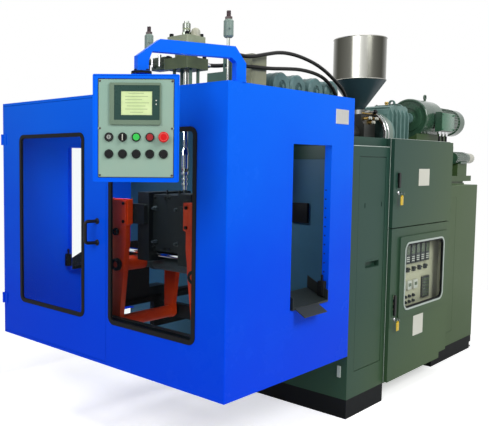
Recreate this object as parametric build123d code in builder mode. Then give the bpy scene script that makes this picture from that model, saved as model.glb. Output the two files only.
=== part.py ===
from build123d import *
import math
import os

# Extrusion blow moulding machine. +X right along the front, +Y away from the front,
# +Z up, floor at z = 0, x = 0 on the line of the clamp, blow pin and extruder.
os.makedirs("parts", exist_ok=True)

# guard
left = -1110.0
side = 510.0
front = -1580.0
back = front + 990.0
low = 330.0
top = 1630.0
skin = 4.0
corner = 28.0
# base and cabinets
base_low = 100.0
tray = 1340.0
base_top = tray + 60
base_end = 610.0
step_y = -194.0
cab_x = 160.0
cab_face = side + 4
cab_top = base_top + 47
door_face = cab_face + 20
# lines of the machine
screw_z = base_top + 105
motor_z = screw_z + 137
station = front + 310.0
hopper_y = 395.0
gap = 0.3
run = 0.06


def block(x0, x1, y0, y1, z0, z1, mode=Mode.ADD):
    with Locations(((x0 + x1) / 2, (y0 + y1) / 2, (z0 + z1) / 2)):
        Box(x1 - x0, y1 - y0, z1 - z0, mode=mode)


def rod(start, direction, radius, length, mode=Mode.ADD):
    with Locations(Plane(origin=start, z_dir=direction)):
        Cylinder(radius, length, align=(Align.CENTER, Align.CENTER, Align.MIN), mode=mode)


def keep(builder, label):
    builder.part.label = label
    export_step(builder.part, "parts/" + label + ".step")


def front_plane(y):
    # local x is X, local y is Z, the normal looks out of the front
    return Plane(origin=(0, y, 0), x_dir=(1, 0, 0), z_dir=(0, -1, 0))


def side_plane(x):
    # local x is Y, local y is Z, the normal looks out to the right
    return Plane(origin=(x, 0, 0), x_dir=(0, 1, 0), z_dir=(1, 0, 0))


# Windows of the front: centre x, centre z, width, height.
door_window = (-664.0, 993.0, 542.0, 900.0)
fixed_window = (73.5, 997.5, 533.0, 901.0)
door_x0 = left + 4.0
door_x1 = -222.0
door_z0 = low + 16.0
door_z1 = top - 16.0
opening_y0 = front + 460.0
opening_y1 = front + 785.0
opening_z0 = 645.0
opening_z1 = 1394.0

# Guard shell: folded sheet, open below and behind, with a side opening each side.
with BuildPart() as guard_shell:
    with BuildSketch(Plane.XY.offset(low)) as guard_plan:
        with Locations(((left + side) / 2, (front + back) / 2)):
            Rectangle(side - left, back - front)
        fillet(guard_plan.vertices().group_by(Axis.X)[-1].sort_by(Axis.Y)[0], 5)
    extrude(amount=top - low)
    block(left + skin, side - skin, front + skin, back + 1, low - 1, top - skin, Mode.SUBTRACT)
    # roof well for the blow unit and the extruder
    block(-330, side - 180, front + 110, back + 1, top - skin - 1, top + 1, Mode.SUBTRACT)
    # door opening with a stop frame set back behind the door
    block(door_x0 - 2, door_x1 + 2, front - 1, front + skin + 1, door_z0 - 2, door_z1 + 2, Mode.SUBTRACT)
    with BuildSketch(front_plane(front + 26)):
        with Locations(((door_x0 + door_x1) / 2, (door_z0 + door_z1) / 2)):
            Rectangle(door_x1 - door_x0 + 4, door_z1 - door_z0 + 4)
            Rectangle(door_x1 - door_x0 - 76, door_z1 - door_z0 - 76, mode=Mode.SUBTRACT)
    extrude(amount=-3)
    # returned edges: door jambs, sill, lintel
    block(door_x1 + 2, door_x1 + 5, front, front + 29, low + 14, top - skin)
    block(left, door_x1 + 5, front, front + 29, low, low + 14)
    block(left, door_x1 + 5, front, front + 29, top - 14, top)
    # fixed window
    with BuildSketch(front_plane(front)):
        with Locations((fixed_window[0], fixed_window[1])):
            RectangleRounded(fixed_window[2], fixed_window[3], corner)
    extrude(amount=-(skin + 1), mode=Mode.SUBTRACT)
    # side openings, each with a flange turned inwards
    for wall_x, inward in ((side, -1), (left, 1)):
        with BuildSketch(side_plane(wall_x)):
            with Locations(((opening_y0 + opening_y1) / 2, (opening_z0 + opening_z1) / 2)):
                Rectangle(opening_y1 - opening_y0 + 6, opening_z1 - opening_z0 + 6)
                Rectangle(opening_y1 - opening_y0, opening_z1 - opening_z0, mode=Mode.SUBTRACT)
        extrude(amount=inward * 36)
        block(
            min(wall_x - inward, wall_x + inward * 6), max(wall_x - inward, wall_x + inward * 6),
            opening_y0, opening_y1, opening_z0, opening_z1, Mode.SUBTRACT,
        )
    # rear wall behind the free left bay, rear posts and top beam
    block(left, -512, back - skin, back, low, top)
    block(side - 50, side, back - skin, back, base_top + 60, top)
    block(left, -330, back - 40, back, top - 60, top)
    block(side - 180, side, back - 40, back, top - 60, top)
    # bottom lip
    block(left, side, front, front + 40, low, low + skin)
    block(left, left + 40, front, back, low, low + skin)
    block(side - 40, side, front, back, low, low + skin)
    # bush for the operator arm on the front right corner of the roof
    rod((side - 25, front + 95, top), (0, 0, 1), 30, 5.7)
    rod((side - 25, front + 95, top - 30), (0, 0, 1), 10 + run, 40, Mode.SUBTRACT)
keep(guard_shell, "guard_shell")


def seal(centre_x, centre_z, width, height, face):
    # rubber profile round a window, slotted for the sheet outside and the pane inside
    with BuildPart() as ring:
        with BuildSketch(front_plane(face - 4)):
            with Locations((centre_x, centre_z)):
                RectangleRounded(width + 18, height + 18, corner + 9)
                RectangleRounded(width - 22, height - 22, corner - 11, mode=Mode.SUBTRACT)
        extrude(amount=-12)
        with BuildSketch(front_plane(face)):
            with Locations((centre_x, centre_z)):
                RectangleRounded(width + 30, height + 30, corner + 15)
                RectangleRounded(width, height, corner, mode=Mode.SUBTRACT)
        extrude(amount=-skin, mode=Mode.SUBTRACT)
        with BuildSketch(front_plane(face)):
            with Locations((centre_x, centre_z)):
                RectangleRounded(width - 10, height - 10, corner - 5)
        extrude(amount=-skin, mode=Mode.SUBTRACT)
    return ring


def pane(centre_x, centre_z, width, height, face):
    with BuildPart() as sheet:
        with BuildSketch(front_plane(face)):
            with Locations((centre_x, centre_z)):
                RectangleRounded(width - 10, height - 10, corner - 5)
        extrude(amount=-skin)
    return sheet


keep(seal(*fixed_window, front), "window_gasket")
keep(pane(*fixed_window, front), "window_pane")
keep(seal(*door_window, front), "door_gasket")
keep(pane(*door_window, front), "door_pane")

# Front door: a tray of folded sheet, hinged at its left edge.
with BuildPart() as front_door:
    with BuildSketch(front_plane(front)):
        with Locations(((door_x0 + door_x1) / 2, (door_z0 + door_z1) / 2)):
            Rectangle(door_x1 - door_x0, door_z1 - door_z0)
    extrude(amount=-skin)
    with BuildSketch(front_plane(front + skin)):
        with Locations(((door_x0 + door_x1) / 2, (door_z0 + door_z1) / 2)):
            Rectangle(door_x1 - door_x0, door_z1 - door_z0)
            Rectangle(door_x1 - door_x0 - 6, door_z1 - door_z0 - 6, mode=Mode.SUBTRACT)
    extrude(amount=-21)
    with BuildSketch(front_plane(front)):
        with Locations((door_window[0], door_window[1])):
            RectangleRounded(door_window[2], door_window[3], corner)
    extrude(amount=-skin, mode=Mode.SUBTRACT)
    # knuckles of the two hinges, outside the left edge
    for knuckle_z in (500, 1400):
        rod((door_x0 - 6, front - 6, knuckle_z), (0, 0, 1), 6, 60)
        block(door_x0 - 6, door_x0 + 30, front - 4, front, knuckle_z, knuckle_z + 60)
keep(front_door, "front_door")

# Bow handle of the front door.
with BuildPart() as door_handle:
    with BuildLine() as bow:
        FilletPolyline(
            (-285, front, 920), (-300, front - 62, 920), (-300, front - 62, 1024), (-285, front, 1024),
            radius=14,
        )
    with BuildSketch(Plane(origin=bow.line @ 0, z_dir=bow.line % 0)):
        Circle(8)
    sweep(path=bow.line)
    split(bisect_by=Plane(origin=(0, front, 0), z_dir=(0, -1, 0)), keep=Keep.TOP)
keep(door_handle, "door_handle")

# Exit chutes: sloping trays in the side openings with a tongue that sticks out.
with BuildPart() as exit_chutes:
    chute_y0 = opening_y0 + 12
    chute_y1 = opening_y1 - 12
    for wall_x, out in ((side, 1), (left, -1)):
        with BuildSketch(front_plane(chute_y0)):
            with BuildLine():
                Polyline(
                    (wall_x - out * 108, 696), (wall_x - out * 2, 652), (wall_x + out * 8, 652),
                    (wall_x + out * 8, 655), (wall_x - out * 2, 655), (wall_x - out * 108, 699),
                    close=True,
                )
            make_face()
        extrude(amount=-(chute_y1 - chute_y0))
        # foot on the sill of the opening
        with BuildSketch(front_plane(chute_y0)):
            with BuildLine():
                Polyline(
                    (wall_x - out * 32, 645), (wall_x + out * 8, 645), (wall_x + out * 8, 654),
                    (wall_x - out * 2, 654), (wall_x - out * 32, 666), close=True,
                )
            make_face()
        extrude(amount=-(chute_y1 - chute_y0))
        for cheek_y in (chute_y0, chute_y1 - 3):
            with BuildSketch(front_plane(cheek_y)):
                with BuildLine():
                    Polyline(
                        (wall_x - out * 108, 696), (wall_x - out * 2, 652), (wall_x + out * 8, 652),
                        (wall_x + out * 8, 700), (wall_x - out * 108, 760), close=True,
                    )
                make_face()
            extrude(amount=-3)
        with BuildSketch(front_plane(chute_y0 + 16)):
            with BuildLine():
                Polyline(
                    (wall_x + out * 5, 655), (wall_x + out * 60, 622), (wall_x + out * 60, 618),
                    (wall_x + out * 5, 651), close=True,
                )
            make_face()
        extrude(amount=-190)
keep(exit_chutes, "exit_chutes")

# Plinth under the base and the skids under the rear units.
skid_x = side - 70
with BuildPart() as plinths:
    with BuildSketch() as plinth_plan:
        with BuildLine():
            Polyline(
                (-510, back), (side, back), (side, step_y), (cab_x, step_y), (cab_x, base_end),
                (-510, base_end), close=True,
            )
        make_face()
    extrude(amount=base_low)
    block(-210, skid_x, base_end + 16, 1280, 0, base_low)
    block(-210, 200, 1279, 1700, 0, base_low)
    # jacking lug with its levelling bolt at the right rear corner
    block(skid_x - 56, skid_x, 1280, 1304, 44, 180)
    block(skid_x - 44, skid_x - 12, 1300, 1336, 96, 112)
    rod((skid_x - 28, 1320, 0), (0, 0, 1), 10, 130)
    rod((skid_x - 28, 1320, 0), (0, 0, 1), 22, 8)
keep(plinths, "plinths")

# Base frame: hollow sheet base with the door opening, tray top and bed rails.
door_y0 = -522.0
door_y1 = -232.0
door_low = 234.0
door_high = base_top - 54
pivot = (side - 3.5, door_y0 + 6)
with BuildPart() as base_frame:
    with BuildSketch(Plane.XY.offset(base_low)):
        add(plinth_plan.sketch)
    extrude(amount=base_top - base_low)
    block(-504, side - 6, back + 6, step_y - 6, base_low + 6, tray - 6, Mode.SUBTRACT)
    block(-504, cab_x - 6, step_y - 6, base_end - 6, base_low + 6, tray - 6, Mode.SUBTRACT)
    block(-470, side - 40, back + 30, step_y - 30, tray, base_top + 1, Mode.SUBTRACT)
    block(-470, cab_x - 4, step_y - 31, base_end - 30, tray, base_top + 1, Mode.SUBTRACT)
    block(-160, cab_x - 4, base_end - 31, base_end + 1, tray, base_top + 1, Mode.SUBTRACT)
    block(side - 8, side + 1, door_y0, door_y1, door_low, door_high, Mode.SUBTRACT)
    # frame behind the door edge
    with BuildSketch(side_plane(side - 14)):
        with Locations(((door_y0 + door_y1) / 2, (door_low + door_high) / 2)):
            Rectangle(door_y1 - door_y0 + 12, door_high - door_low + 12)
            Rectangle(door_y1 - door_y0 - 24, door_high - door_low - 24, mode=Mode.SUBTRACT)
    extrude(amount=6)
    # bores of the door's pivot pins
    rod((pivot[0], pivot[1], door_low - 8), (0, 0, 1), 2.7, 9, Mode.SUBTRACT)
    rod((pivot[0], pivot[1], door_high - 1), (0, 0, 1), 2.7, 9, Mode.SUBTRACT)
    # bed rails
    block(side - 40, side - 20, back + 34, step_y - 2, base_top, cab_top)
    block(-490, -470, back + 34, base_end - 30, base_top, cab_top)
    block(-490, side - 20, back + 34, back + 54, tray, cab_top)
    # pedestal of the feed block and saddle of the barrel
    block(-90, 90, 300, 470, tray, screw_z - 85)
    with BuildSketch(front_plane(-130)):
        with BuildLine():
            Polyline((-110, tray), (110, tray), (70, screw_z - 25), (-70, screw_z - 25), close=True)
        make_face()
        with Locations((0, screw_z)):
            Circle(52 + gap, mode=Mode.SUBTRACT)
    extrude(amount=-30)
    rod((0, back - 1, 445), (0, 1, 0), 37, 10, Mode.SUBTRACT)
keep(base_frame, "base_frame")

# Base door on the right side, with two slots and a recessed pull.
with BuildPart() as base_door:
    block(side - 6, side - 1, door_y0 + 3, door_y1 - 3, door_low + 3, door_high - 3)
    with BuildSketch(side_plane(side - 6)):
        with Locations(((door_y0 + door_y1) / 2, (door_low + door_high) / 2)):
            Rectangle(door_y1 - door_y0 - 30, door_high - door_low - 30)
            Rectangle(door_y1 - door_y0 - 36, door_high - door_low - 36, mode=Mode.SUBTRACT)
    extrude(amount=-18)
    with BuildSketch(side_plane(side)):
        with Locations((-452, 1094), (-272, 1094)):
            SlotOverall(26, 7, rotation=90)
        with Locations((-356, 785)):
            RectangleRounded(150, 44, 6)
    extrude(amount=-8, mode=Mode.SUBTRACT)
    rod((pivot[0], pivot[1], door_low - 4), (0, 0, 1), 2, 10)
    rod((pivot[0], pivot[1], door_high - 5), (0, 0, 1), 2, 10)
    # cup of the pull with its overhanging upper lip
    with BuildSketch(side_plane(side - 4)):
        with Locations((-356, 785)):
            RectangleRounded(160, 54, 10)
    extrude(amount=-24)
    with BuildSketch(side_plane(side + 1)):
        with Locations((-356, 785)):
            RectangleRounded(146, 40, 5)
    extrude(amount=-26, mode=Mode.SUBTRACT)
    block(side - 8, side - 1, -356 - 74, -356 + 74, 796, 806)
keep(base_door, "base_door")

# Electrical cabinet on the right side.
notch_y = 510.0
notch_z = 140.0
hinge_x = door_face - 3.5
hinge_y = base_end - 1.5
hinge_r = 3.2
hinge_heights = (220, 820, 1010, 1340)


def hinge_half(low_z, high_z, leaf_x):
    # knuckle on the hinge line with its leaf
    rod((hinge_x, hinge_y, low_z), (0, 0, 1), hinge_r, high_z - low_z)
    block(leaf_x, hinge_x, hinge_y, hinge_y + hinge_r, low_z, high_z)


with BuildPart() as cabinet:
    block(cab_x, cab_face, step_y, base_end, base_low, cab_top)
    block(cab_x + 4, cab_face + 1, step_y + 4, base_end - 4, base_low + 4, cab_top - 4, Mode.SUBTRACT)
    with BuildSketch(side_plane(cab_face - 4)):
        with Locations(((step_y + base_end) / 2, (base_low + cab_top) / 2)):
            Rectangle(base_end - step_y, cab_top - base_low)
        with Locations(((step_y + base_end) / 2, 1204)):
            Rectangle(base_end - step_y - 60, 430, mode=Mode.SUBTRACT)
        with Locations(((step_y + base_end) / 2, 550)):
            Rectangle(base_end - step_y - 60, 760, mode=Mode.SUBTRACT)
    extrude(amount=4)
    block(cab_x - 1, cab_face + 1, notch_y, base_end + 1, base_low - 1, notch_z, Mode.SUBTRACT)
    block(cab_x, cab_face, notch_y, base_end, notch_z, notch_z + 4)
    block(cab_x, cab_face, notch_y, notch_y + 4, base_low, notch_z + 4)
    for knuckle_z in hinge_heights:
        hinge_half(knuckle_z, knuckle_z + 40, cab_face - 16)
        rod((hinge_x, hinge_y, knuckle_z + 39), (0, 0, 1), 1.6, 30)
keep(cabinet, "cabinet")

with BuildPart() as upper_door:
    block(cab_face + gap, door_face, step_y + 5, base_end - 5, 962, cab_top - 5)
    block(cab_face, door_face - 3, step_y + 8, base_end - 8, 965, cab_top - 8, Mode.SUBTRACT)
    fillet(upper_door.edges().filter_by(Axis.X).group_by(SortBy.LENGTH)[-1], 2)
    # dish of the lock
    block(door_face, door_face + 2, -152, -114, 1172, 1268)
    block(cab_face, door_face + 3, -147, -119, 1208, 1260, Mode.SUBTRACT)
    rod((cab_face, -133, 1194), (1, 0, 0), 10 + run, 30, Mode.SUBTRACT)
    for knuckle_z in hinge_heights[2:]:
        rod((hinge_x, hinge_y, knuckle_z + 40.3), (0, 0, 1), hinge_r, 40)
        block(hinge_x - hinge_r, door_face - 0.3, hinge_y - 5, hinge_y, knuckle_z + 40.3, knuckle_z + 80.3)
        rod((hinge_x, hinge_y, knuckle_z + 40), (0, 0, 1), 1.6 + run, 31, Mode.SUBTRACT)
keep(upper_door, "cabinet_upper_door")

# Lower door with the raised window frame.
window_y = 230.0
window_z = 678.5
with BuildPart() as lower_door:
    block(cab_face + gap, door_face, step_y + 5, base_end - 5, base_low + 6, 956)
    block(cab_face, door_face - 3, step_y + 8, base_end - 8, base_low + 9, 953, Mode.SUBTRACT)
    block(cab_face, door_face + 1, notch_y - 5, base_end, base_low, notch_z + 2, Mode.SUBTRACT)
    block(cab_face + gap, door_face, notch_y - 8, base_end - 5, notch_z + 2, notch_z + 5)
    block(cab_face + gap, door_face, notch_y - 8, notch_y - 5, base_low + 6, notch_z + 5)
    with BuildSketch(side_plane(door_face)):
        with Locations((window_y, window_z)):
            RectangleRounded(654, 455, 14)
    extrude(amount=10)
    with BuildSketch(side_plane(door_face + 10)):
        with Locations((window_y, window_z)):
            RectangleRounded(520, 367, 42)
    extrude(amount=-14, mode=Mode.SUBTRACT)
    block(door_face, door_face + 2, -160, -116, 466, 594)
    block(cab_face, door_face + 3, -152, -124, 502, 586, Mode.SUBTRACT)
    rod((cab_face, -138, 488), (1, 0, 0), 10 + run, 30, Mode.SUBTRACT)
    for knuckle_z in hinge_heights[:2]:
        rod((hinge_x, hinge_y, knuckle_z + 40.3), (0, 0, 1), hinge_r, 40)
        block(hinge_x - hinge_r, door_face - 0.3, hinge_y - 5, hinge_y, knuckle_z + 40.3, knuckle_z + 80.3)
        rod((hinge_x, hinge_y, knuckle_z + 40), (0, 0, 1), 1.6 + run, 31, Mode.SUBTRACT)
keep(lower_door, "cabinet_lower_door")
with BuildPart() as door_window_pane:
    with BuildSketch(side_plane(door_face - 3)):
        with Locations((window_y, window_z)):
            RectangleRounded(560, 407, 50)
    extrude(amount=-4)
keep(door_window_pane, "cabinet_window")


def lock(centre_y, centre_z, height):
    # swing handle over its dish, on a boss near its lower end
    with BuildPart() as handle:
        with BuildSketch(side_plane(door_face + 3)):
            with Locations((centre_y, centre_z)):
                RectangleRounded(22, height, 9)
        extrude(amount=9)
        chamfer(handle.faces().sort_by(Axis.X)[-1].edges(), 1.6)
        rod((door_face - 14, centre_y, centre_z - height / 2 + 16), (1, 0, 0), 10, 18)
    return handle


keep(lock(-133, 1220, 84), "upper_lock")
keep(lock(-138, 530, 116), "lower_lock")

# Instruments behind the window.
with BuildPart() as instrument_panel:
    block(cab_face - 42, cab_face - 39, -186, 602, 440, 910)
    block(cab_face - 39, cab_face - 4, -186, -170, 440, 910)
    block(cab_face - 39, cab_face - 4, 586, 602, 440, 910)
    # meters, switches and terminal blocks on its face
    with BuildSketch(side_plane(cab_face - 39)):
        with GridLocations(66, 0, 6, 1):
            with Locations((215, 788)):
                Rectangle(56, 118)
    extrude(amount=18)
    with BuildSketch(side_plane(cab_face - 39)):
        with GridLocations(80, 0, 5, 1):
            with Locations((215, 692)):
                Rectangle(22, 26)
    extrude(amount=16)
    with BuildSketch(side_plane(cab_face - 39)):
        with GridLocations(80, 0, 4, 1):
            with Locations((120, 600)):
                Rectangle(52, 52)
        with Locations((385, 566)):
            Rectangle(96, 130)
    extrude(amount=14)
keep(instrument_panel, "instrument_panel")

# Rear base: welded box, gear stand, saddle stand of the drive and pump platform.
rear_x = side - 60
rear_top = tray - 170
with BuildPart() as rear_base:
    block(-210, rear_x, base_end + 2, 1280, base_low, rear_top)
    chamfer(rear_base.edges().filter_by(Axis.Y).sort_by(Axis.Z)[-2:], 3)
    block(-210, 205, 1270, 1700, base_low, rear_top)
    with BuildSketch(side_plane(rear_x)):
        with Locations((790, 640)):
            Rectangle(250, 900)
            Rectangle(246, 896, mode=Mode.SUBTRACT)
    extrude(amount=-2, mode=Mode.SUBTRACT)
    rod((rear_x, 665, 766), (1, 0, 0), 9, 12)
    with BuildSketch(side_plane(-130)):
        with BuildLine():
            Polyline(
                (base_end + 2, rear_top), (1040, rear_top), (960, tray), (base_end + 2, tray), close=True,
            )
        make_face()
    extrude(amount=230)
    with BuildSketch(front_plane(1090)):
        with BuildLine():
            Polyline(
                (-115, rear_top), (95, rear_top), (88, motor_z - 112), (-88, motor_z - 112), close=True,
            )
        make_face()
        with Locations((0, motor_z)):
            Circle(142 + gap, mode=Mode.SUBTRACT)
    extrude(amount=-350)
    with BuildSketch(front_plane(1440)):
        with BuildLine():
            Polyline(
                (-115, rear_top), (95, rear_top), (80, motor_z - 82), (-80, motor_z - 82), close=True,
            )
        make_face()
        with Locations((0, motor_z)):
            Circle(98 + gap, mode=Mode.SUBTRACT)
    extrude(amount=-200)
    block(-210, 222, 1300, 1790, rear_top + 13, rear_top + 54)
    block(150, 200, 1330, 1690, rear_top, rear_top + 13)
    block(-200, -150, 1330, 1690, rear_top, rear_top + 13)
    block(150, 220, 1520, 1700, rear_top + 54, rear_top + 146)
keep(rear_base, "rear_base")
pump_z = rear_top + 188
with BuildPart() as pump_motor:
    rod((195, 1470, pump_z), (0, 1, 0), 41.7, 248)
    with BuildSketch(front_plane(1490)):
        with Locations((195, pump_z)):
            with PolarLocations(43, 12, start_angle=-36, angular_range=252):
                Rectangle(7, 3)
    extrude(amount=-180)
    rod((195, 1718, pump_z), (0, 1, 0), 38, 106)
    chamfer(pump_motor.faces().sort_by(Axis.Y)[-1].edges(), 8)
    block(155, 235, 1540, 1660, pump_z - 42, pump_z - 28)
keep(pump_motor, "pump_motor")

# Slide rails of the clamp carriage: bars along Y, each on an arm bolted to the base.
rail_front = front + 200.0
riser_y = front + 518.0
shoe_z = 597.0
with BuildPart() as slide_rails:
    for rail_x in (-390, 390):
        with BuildSketch(front_plane(rail_front)):
            with BuildLine():
                Polyline(
                    (rail_x - 22, 554), (rail_x + 22, 554), (rail_x + 22, 576), (rail_x + 13, 582),
                    (rail_x + 13, 588), (rail_x + 22, 591), (rail_x + 22, shoe_z), (rail_x - 22, shoe_z),
                    (rail_x - 22, 591), (rail_x - 13, 588), (rail_x - 13, 582), (rail_x - 22, 576),
                    close=True,
                )
            make_face()
        extrude(amount=rail_front - back)
        rod((rail_x, rail_front, 575), (0, -1, 0), 12, 8)
        # arm from the base, below the travel of the rear beam, and its riser
        block(rail_x - 15, rail_x + 15, riser_y - 38, back, 410, 470)
        block(rail_x - 15, rail_x + 15, riser_y - 38, riser_y, 410, 556)
        block(rail_x - 22, rail_x + 22, back - 12, back, 380, 556)
keep(slide_rails, "slide_rails")

# Clamp: dimensions shared by the carriage, levers, platens and cylinder.
pivot_x = 266.0
pivot_z = 515.0
pin_x = 253.0
pin_z = 807.0
head_x = 205.0
head_z = 1060.0
front_plate = front + 105.0
rear_plate = front + 483.0
plate_t = 30.0
tie_y = (front + 215.0, front + 405.0)
tie_z = 866.0
tie_r = 13.0
upright = 362.0

# Carriage: shoes on the rails, cross beams, pivot shafts, uprights for the tie bars.
with BuildPart() as carriage:
    for hand in (-1, 1):
        with BuildSketch(front_plane(front + 60)):
            with BuildLine():
                Polyline(
                    (hand * 362, shoe_z + gap), (hand * 432, shoe_z + gap), (hand * 432, 638),
                    (hand * 362, 638), close=True,
                )
            make_face()
            with BuildLine():
                Polyline(
                    (hand * 412.8, shoe_z + gap), (hand * 412.8, 580), (hand * 432, 580),
                    (hand * 432, 610), (hand * 412.8, 610), close=True,
                )
            make_face()
        extrude(amount=-500)
        block(
            min(hand * 362, hand * 387), max(hand * 362, hand * 387),
            front + 190, front + 430, 630, 896,
        )
        rod((hand * pivot_x, front + 70, pivot_z), (0, 1, 0), 16, 480)
        for beam_y in (front + 60, front + 524):
            block(
                min(hand * 366, hand * 430), max(hand * 366, hand * 430),
                beam_y, beam_y + 36, 540, 620,
            )
    for beam_y in (front + 60, front + 524):
        with BuildSketch(front_plane(beam_y)):
            with BuildLine():
                Polyline(
                    (-430, 480), (430, 480), (430, 620), (362, 620), (362, 552), (-362, 552),
                    (-362, 620), (-430, 620), close=True,
                )
            make_face()
        extrude(amount=-36)
    # clear the rails under the rear beam
    for rail_x in (-390, 390):
        block(rail_x - 24, rail_x + 24, front + 59, front + 561, 551, shoe_z + gap, Mode.SUBTRACT)
    # lug for the shuttle rod
    block(-30, 30, front + 524, front + 560, 400, 490)
    for tie in tie_y:
        rod((-400, tie, tie_z), (1, 0, 0), tie_r, 800, Mode.SUBTRACT)
    rod((0, front + 556, 445), (0, 1, 0), 14, 484)
    rod((0, front + 556, 445), (0, 1, 0), 24, 18)
keep(carriage, "carriage")

with BuildPart() as tie_bars:
    for tie in tie_y:
        rod((-upright - 45, tie, tie_z), (1, 0, 0), tie_r, 2 * upright + 90)
        for hand in (-1, 1):
            with BuildSketch(Plane(origin=(hand * 388, tie, tie_z), z_dir=(hand, 0, 0))):
                RegularPolygon(21, 6)
                Circle(tie_r, mode=Mode.SUBTRACT)
            extrude(amount=14)
keep(tie_bars, "tie_bars")

# Shuttle cylinder: fixed to the base round the rod of the carriage.
with BuildPart() as shuttle_cylinder:
    rod((0, front + 962, 445), (0, 1, 0), 36, 478)
    with BuildSketch(front_plane(front + 962)):
        with Locations((0, 445)):
            RectangleRounded(92, 92, 8)
    extrude(amount=-28)
    rod((0, front + 940, 445), (0, 1, 0), 14 + run, 490, Mode.SUBTRACT)
keep(shuttle_cylinder, "shuttle_cylinder")


def lever(hand):
    # rocker arm with a front and a rear plate, joined by the pivot tube and the pin boss
    with BuildPart() as arm:
        for plate_y in (front_plate, rear_plate):
            with BuildSketch(front_plane(plate_y)):
                with BuildLine():
                    Polyline(
                        (hand * 322, 1130), (hand * 180, 1130), (hand * 180, 1012), (hand * 196, 1000),
                        (hand * 196, 930),
                    )
                    Spline(
                        (hand * 196, 930), (hand * 203, 870), (hand * 206, 815),
                        tangents=((0, -1), (0, -1)),
                    )
                    Line((hand * 206, 815), (hand * 238, 560))
                    Line((hand * 238, 560), (hand * 234, pivot_z))
                    ThreePointArc(
                        (hand * 234, pivot_z), (hand * pivot_x, pivot_z - 34), (hand * 298, pivot_z),
                    )
                    Line((hand * 298, pivot_z), (hand * 300, 740))
                    Spline(
                        (hand * 300, 740), (hand * 305, 830), (hand * 322, 930),
                        tangents=((0, 1), (hand * 0.1, 1)),
                    )
                    Line((hand * 322, 930), (hand * 322, 1130))
                make_face()
                with Locations((hand * pin_x, pin_z)):
                    Circle(46)
            extrude(amount=-plate_t)
        rod((hand * pin_x, front_plate, pin_z), (0, 1, 0), 36, 168)
        rod((hand * pin_x, front + 347, pin_z), (0, 1, 0), 36, 140)
        rod((hand * pin_x, front_plate, pin_z), (0, 1, 0), 18, 408)
        rod((hand * pivot_x, front_plate, pivot_z), (0, 1, 0), 31, 408)
        rod((hand * pivot_x, front_plate - 1, pivot_z), (0, 1, 0), 16 + run, 410, Mode.SUBTRACT)
        # head pins that ride in the slots of the platen lugs, and the cover block
        rod((hand * head_x, front_plate, head_z), (0, 1, 0), 12, 57)
        rod((hand * head_x, rear_plate + plate_t, head_z), (0, -1, 0), 12, 57)
        block(
            min(hand * 188, hand * 316), max(hand * 188, hand * 316),
            front_plate - 8, front_plate, 1008, 1124,
        )
        rod((hand * pin_x, front_plate - 16, pin_z), (0, 1, 0), 30, 16)
        rod((hand * 262, front_plate - 12, 968), (0, 1, 0), 17, 12)
    return arm


def platen(hand):
    # plate with ribs and two slotted lugs, bored for the tie bars
    with BuildPart() as plate:
        block(min(hand * 95, hand * 135), max(hand * 95, hand * 135), front + 162, front + 458, 835, 1165)
        for rib_y in (front + 162, front + 300, front + 433):
            block(
                min(hand * 130, hand * 172), max(hand * 130, hand * 172), rib_y, rib_y + 25, 835, 1165,
            )
        for rib_z in (835, 1000, 1140):
            block(
                min(hand * 130, hand * 172), max(hand * 130, hand * 172),
                front + 162, front + 458, rib_z, rib_z + 25,
            )
        for tie in tie_y:
            rod((hand * 95, tie, tie_z), (hand, 0, 0), 26, 79)
        for lug_y in (front + 140, front + 458):
            with BuildSketch(front_plane(lug_y)):
                with Locations((hand * 172, head_z)):
                    RectangleRounded(130, 96, 12)
                with Locations((hand * head_x, head_z)):
                    SlotOverall(34, 24.4, rotation=90, mode=Mode.SUBTRACT)
            extrude(amount=-22)
        for tie in tie_y:
            rod((hand * 80, tie, tie_z), (hand, 0, 0), tie_r + run, 100, Mode.SUBTRACT)
        # notch over the clamp cylinder
        rod((hand * 90, front + 310, pin_z), (hand, 0, 0), 50, 100, Mode.SUBTRACT)
    return plate


def mould(hand):
    # half mould with the cavity of a bottle, closed on the middle plane
    with BuildPart() as half:
        block(
            min(hand * 0.15, hand * 95), max(hand * 0.15, hand * 95),
            front + 190, front + 430, 885, 1155,
        )
        with BuildSketch(Plane(origin=(0, station, 0), x_dir=(1, 0, 0), z_dir=(0, -1, 0))):
            with BuildLine():
                Polyline((0, 925), (44, 925), (48, 931), (48, 1066))
                Spline((48, 1066), (38, 1096), (18, 1112), tangents=((0, 1), (-0.3, 1)))
                Polyline((18, 1112), (18, 1156), (0, 1156), (0, 925))
            make_face()
        revolve(axis=Axis(origin=(0, station, 0), direction=(0, 0, 1)), mode=Mode.SUBTRACT)
        for channel_z in (930, 1090):
            rod((hand * 72, front + 180, channel_z), (0, 1, 0), 7, 90, Mode.SUBTRACT)
    return half


for hand, word in ((-1, "left"), (1, "right")):
    keep(lever(hand), "lever_" + word)
    keep(platen(hand), "platen_" + word)
    keep(mould(hand), "mould_" + word)

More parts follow.
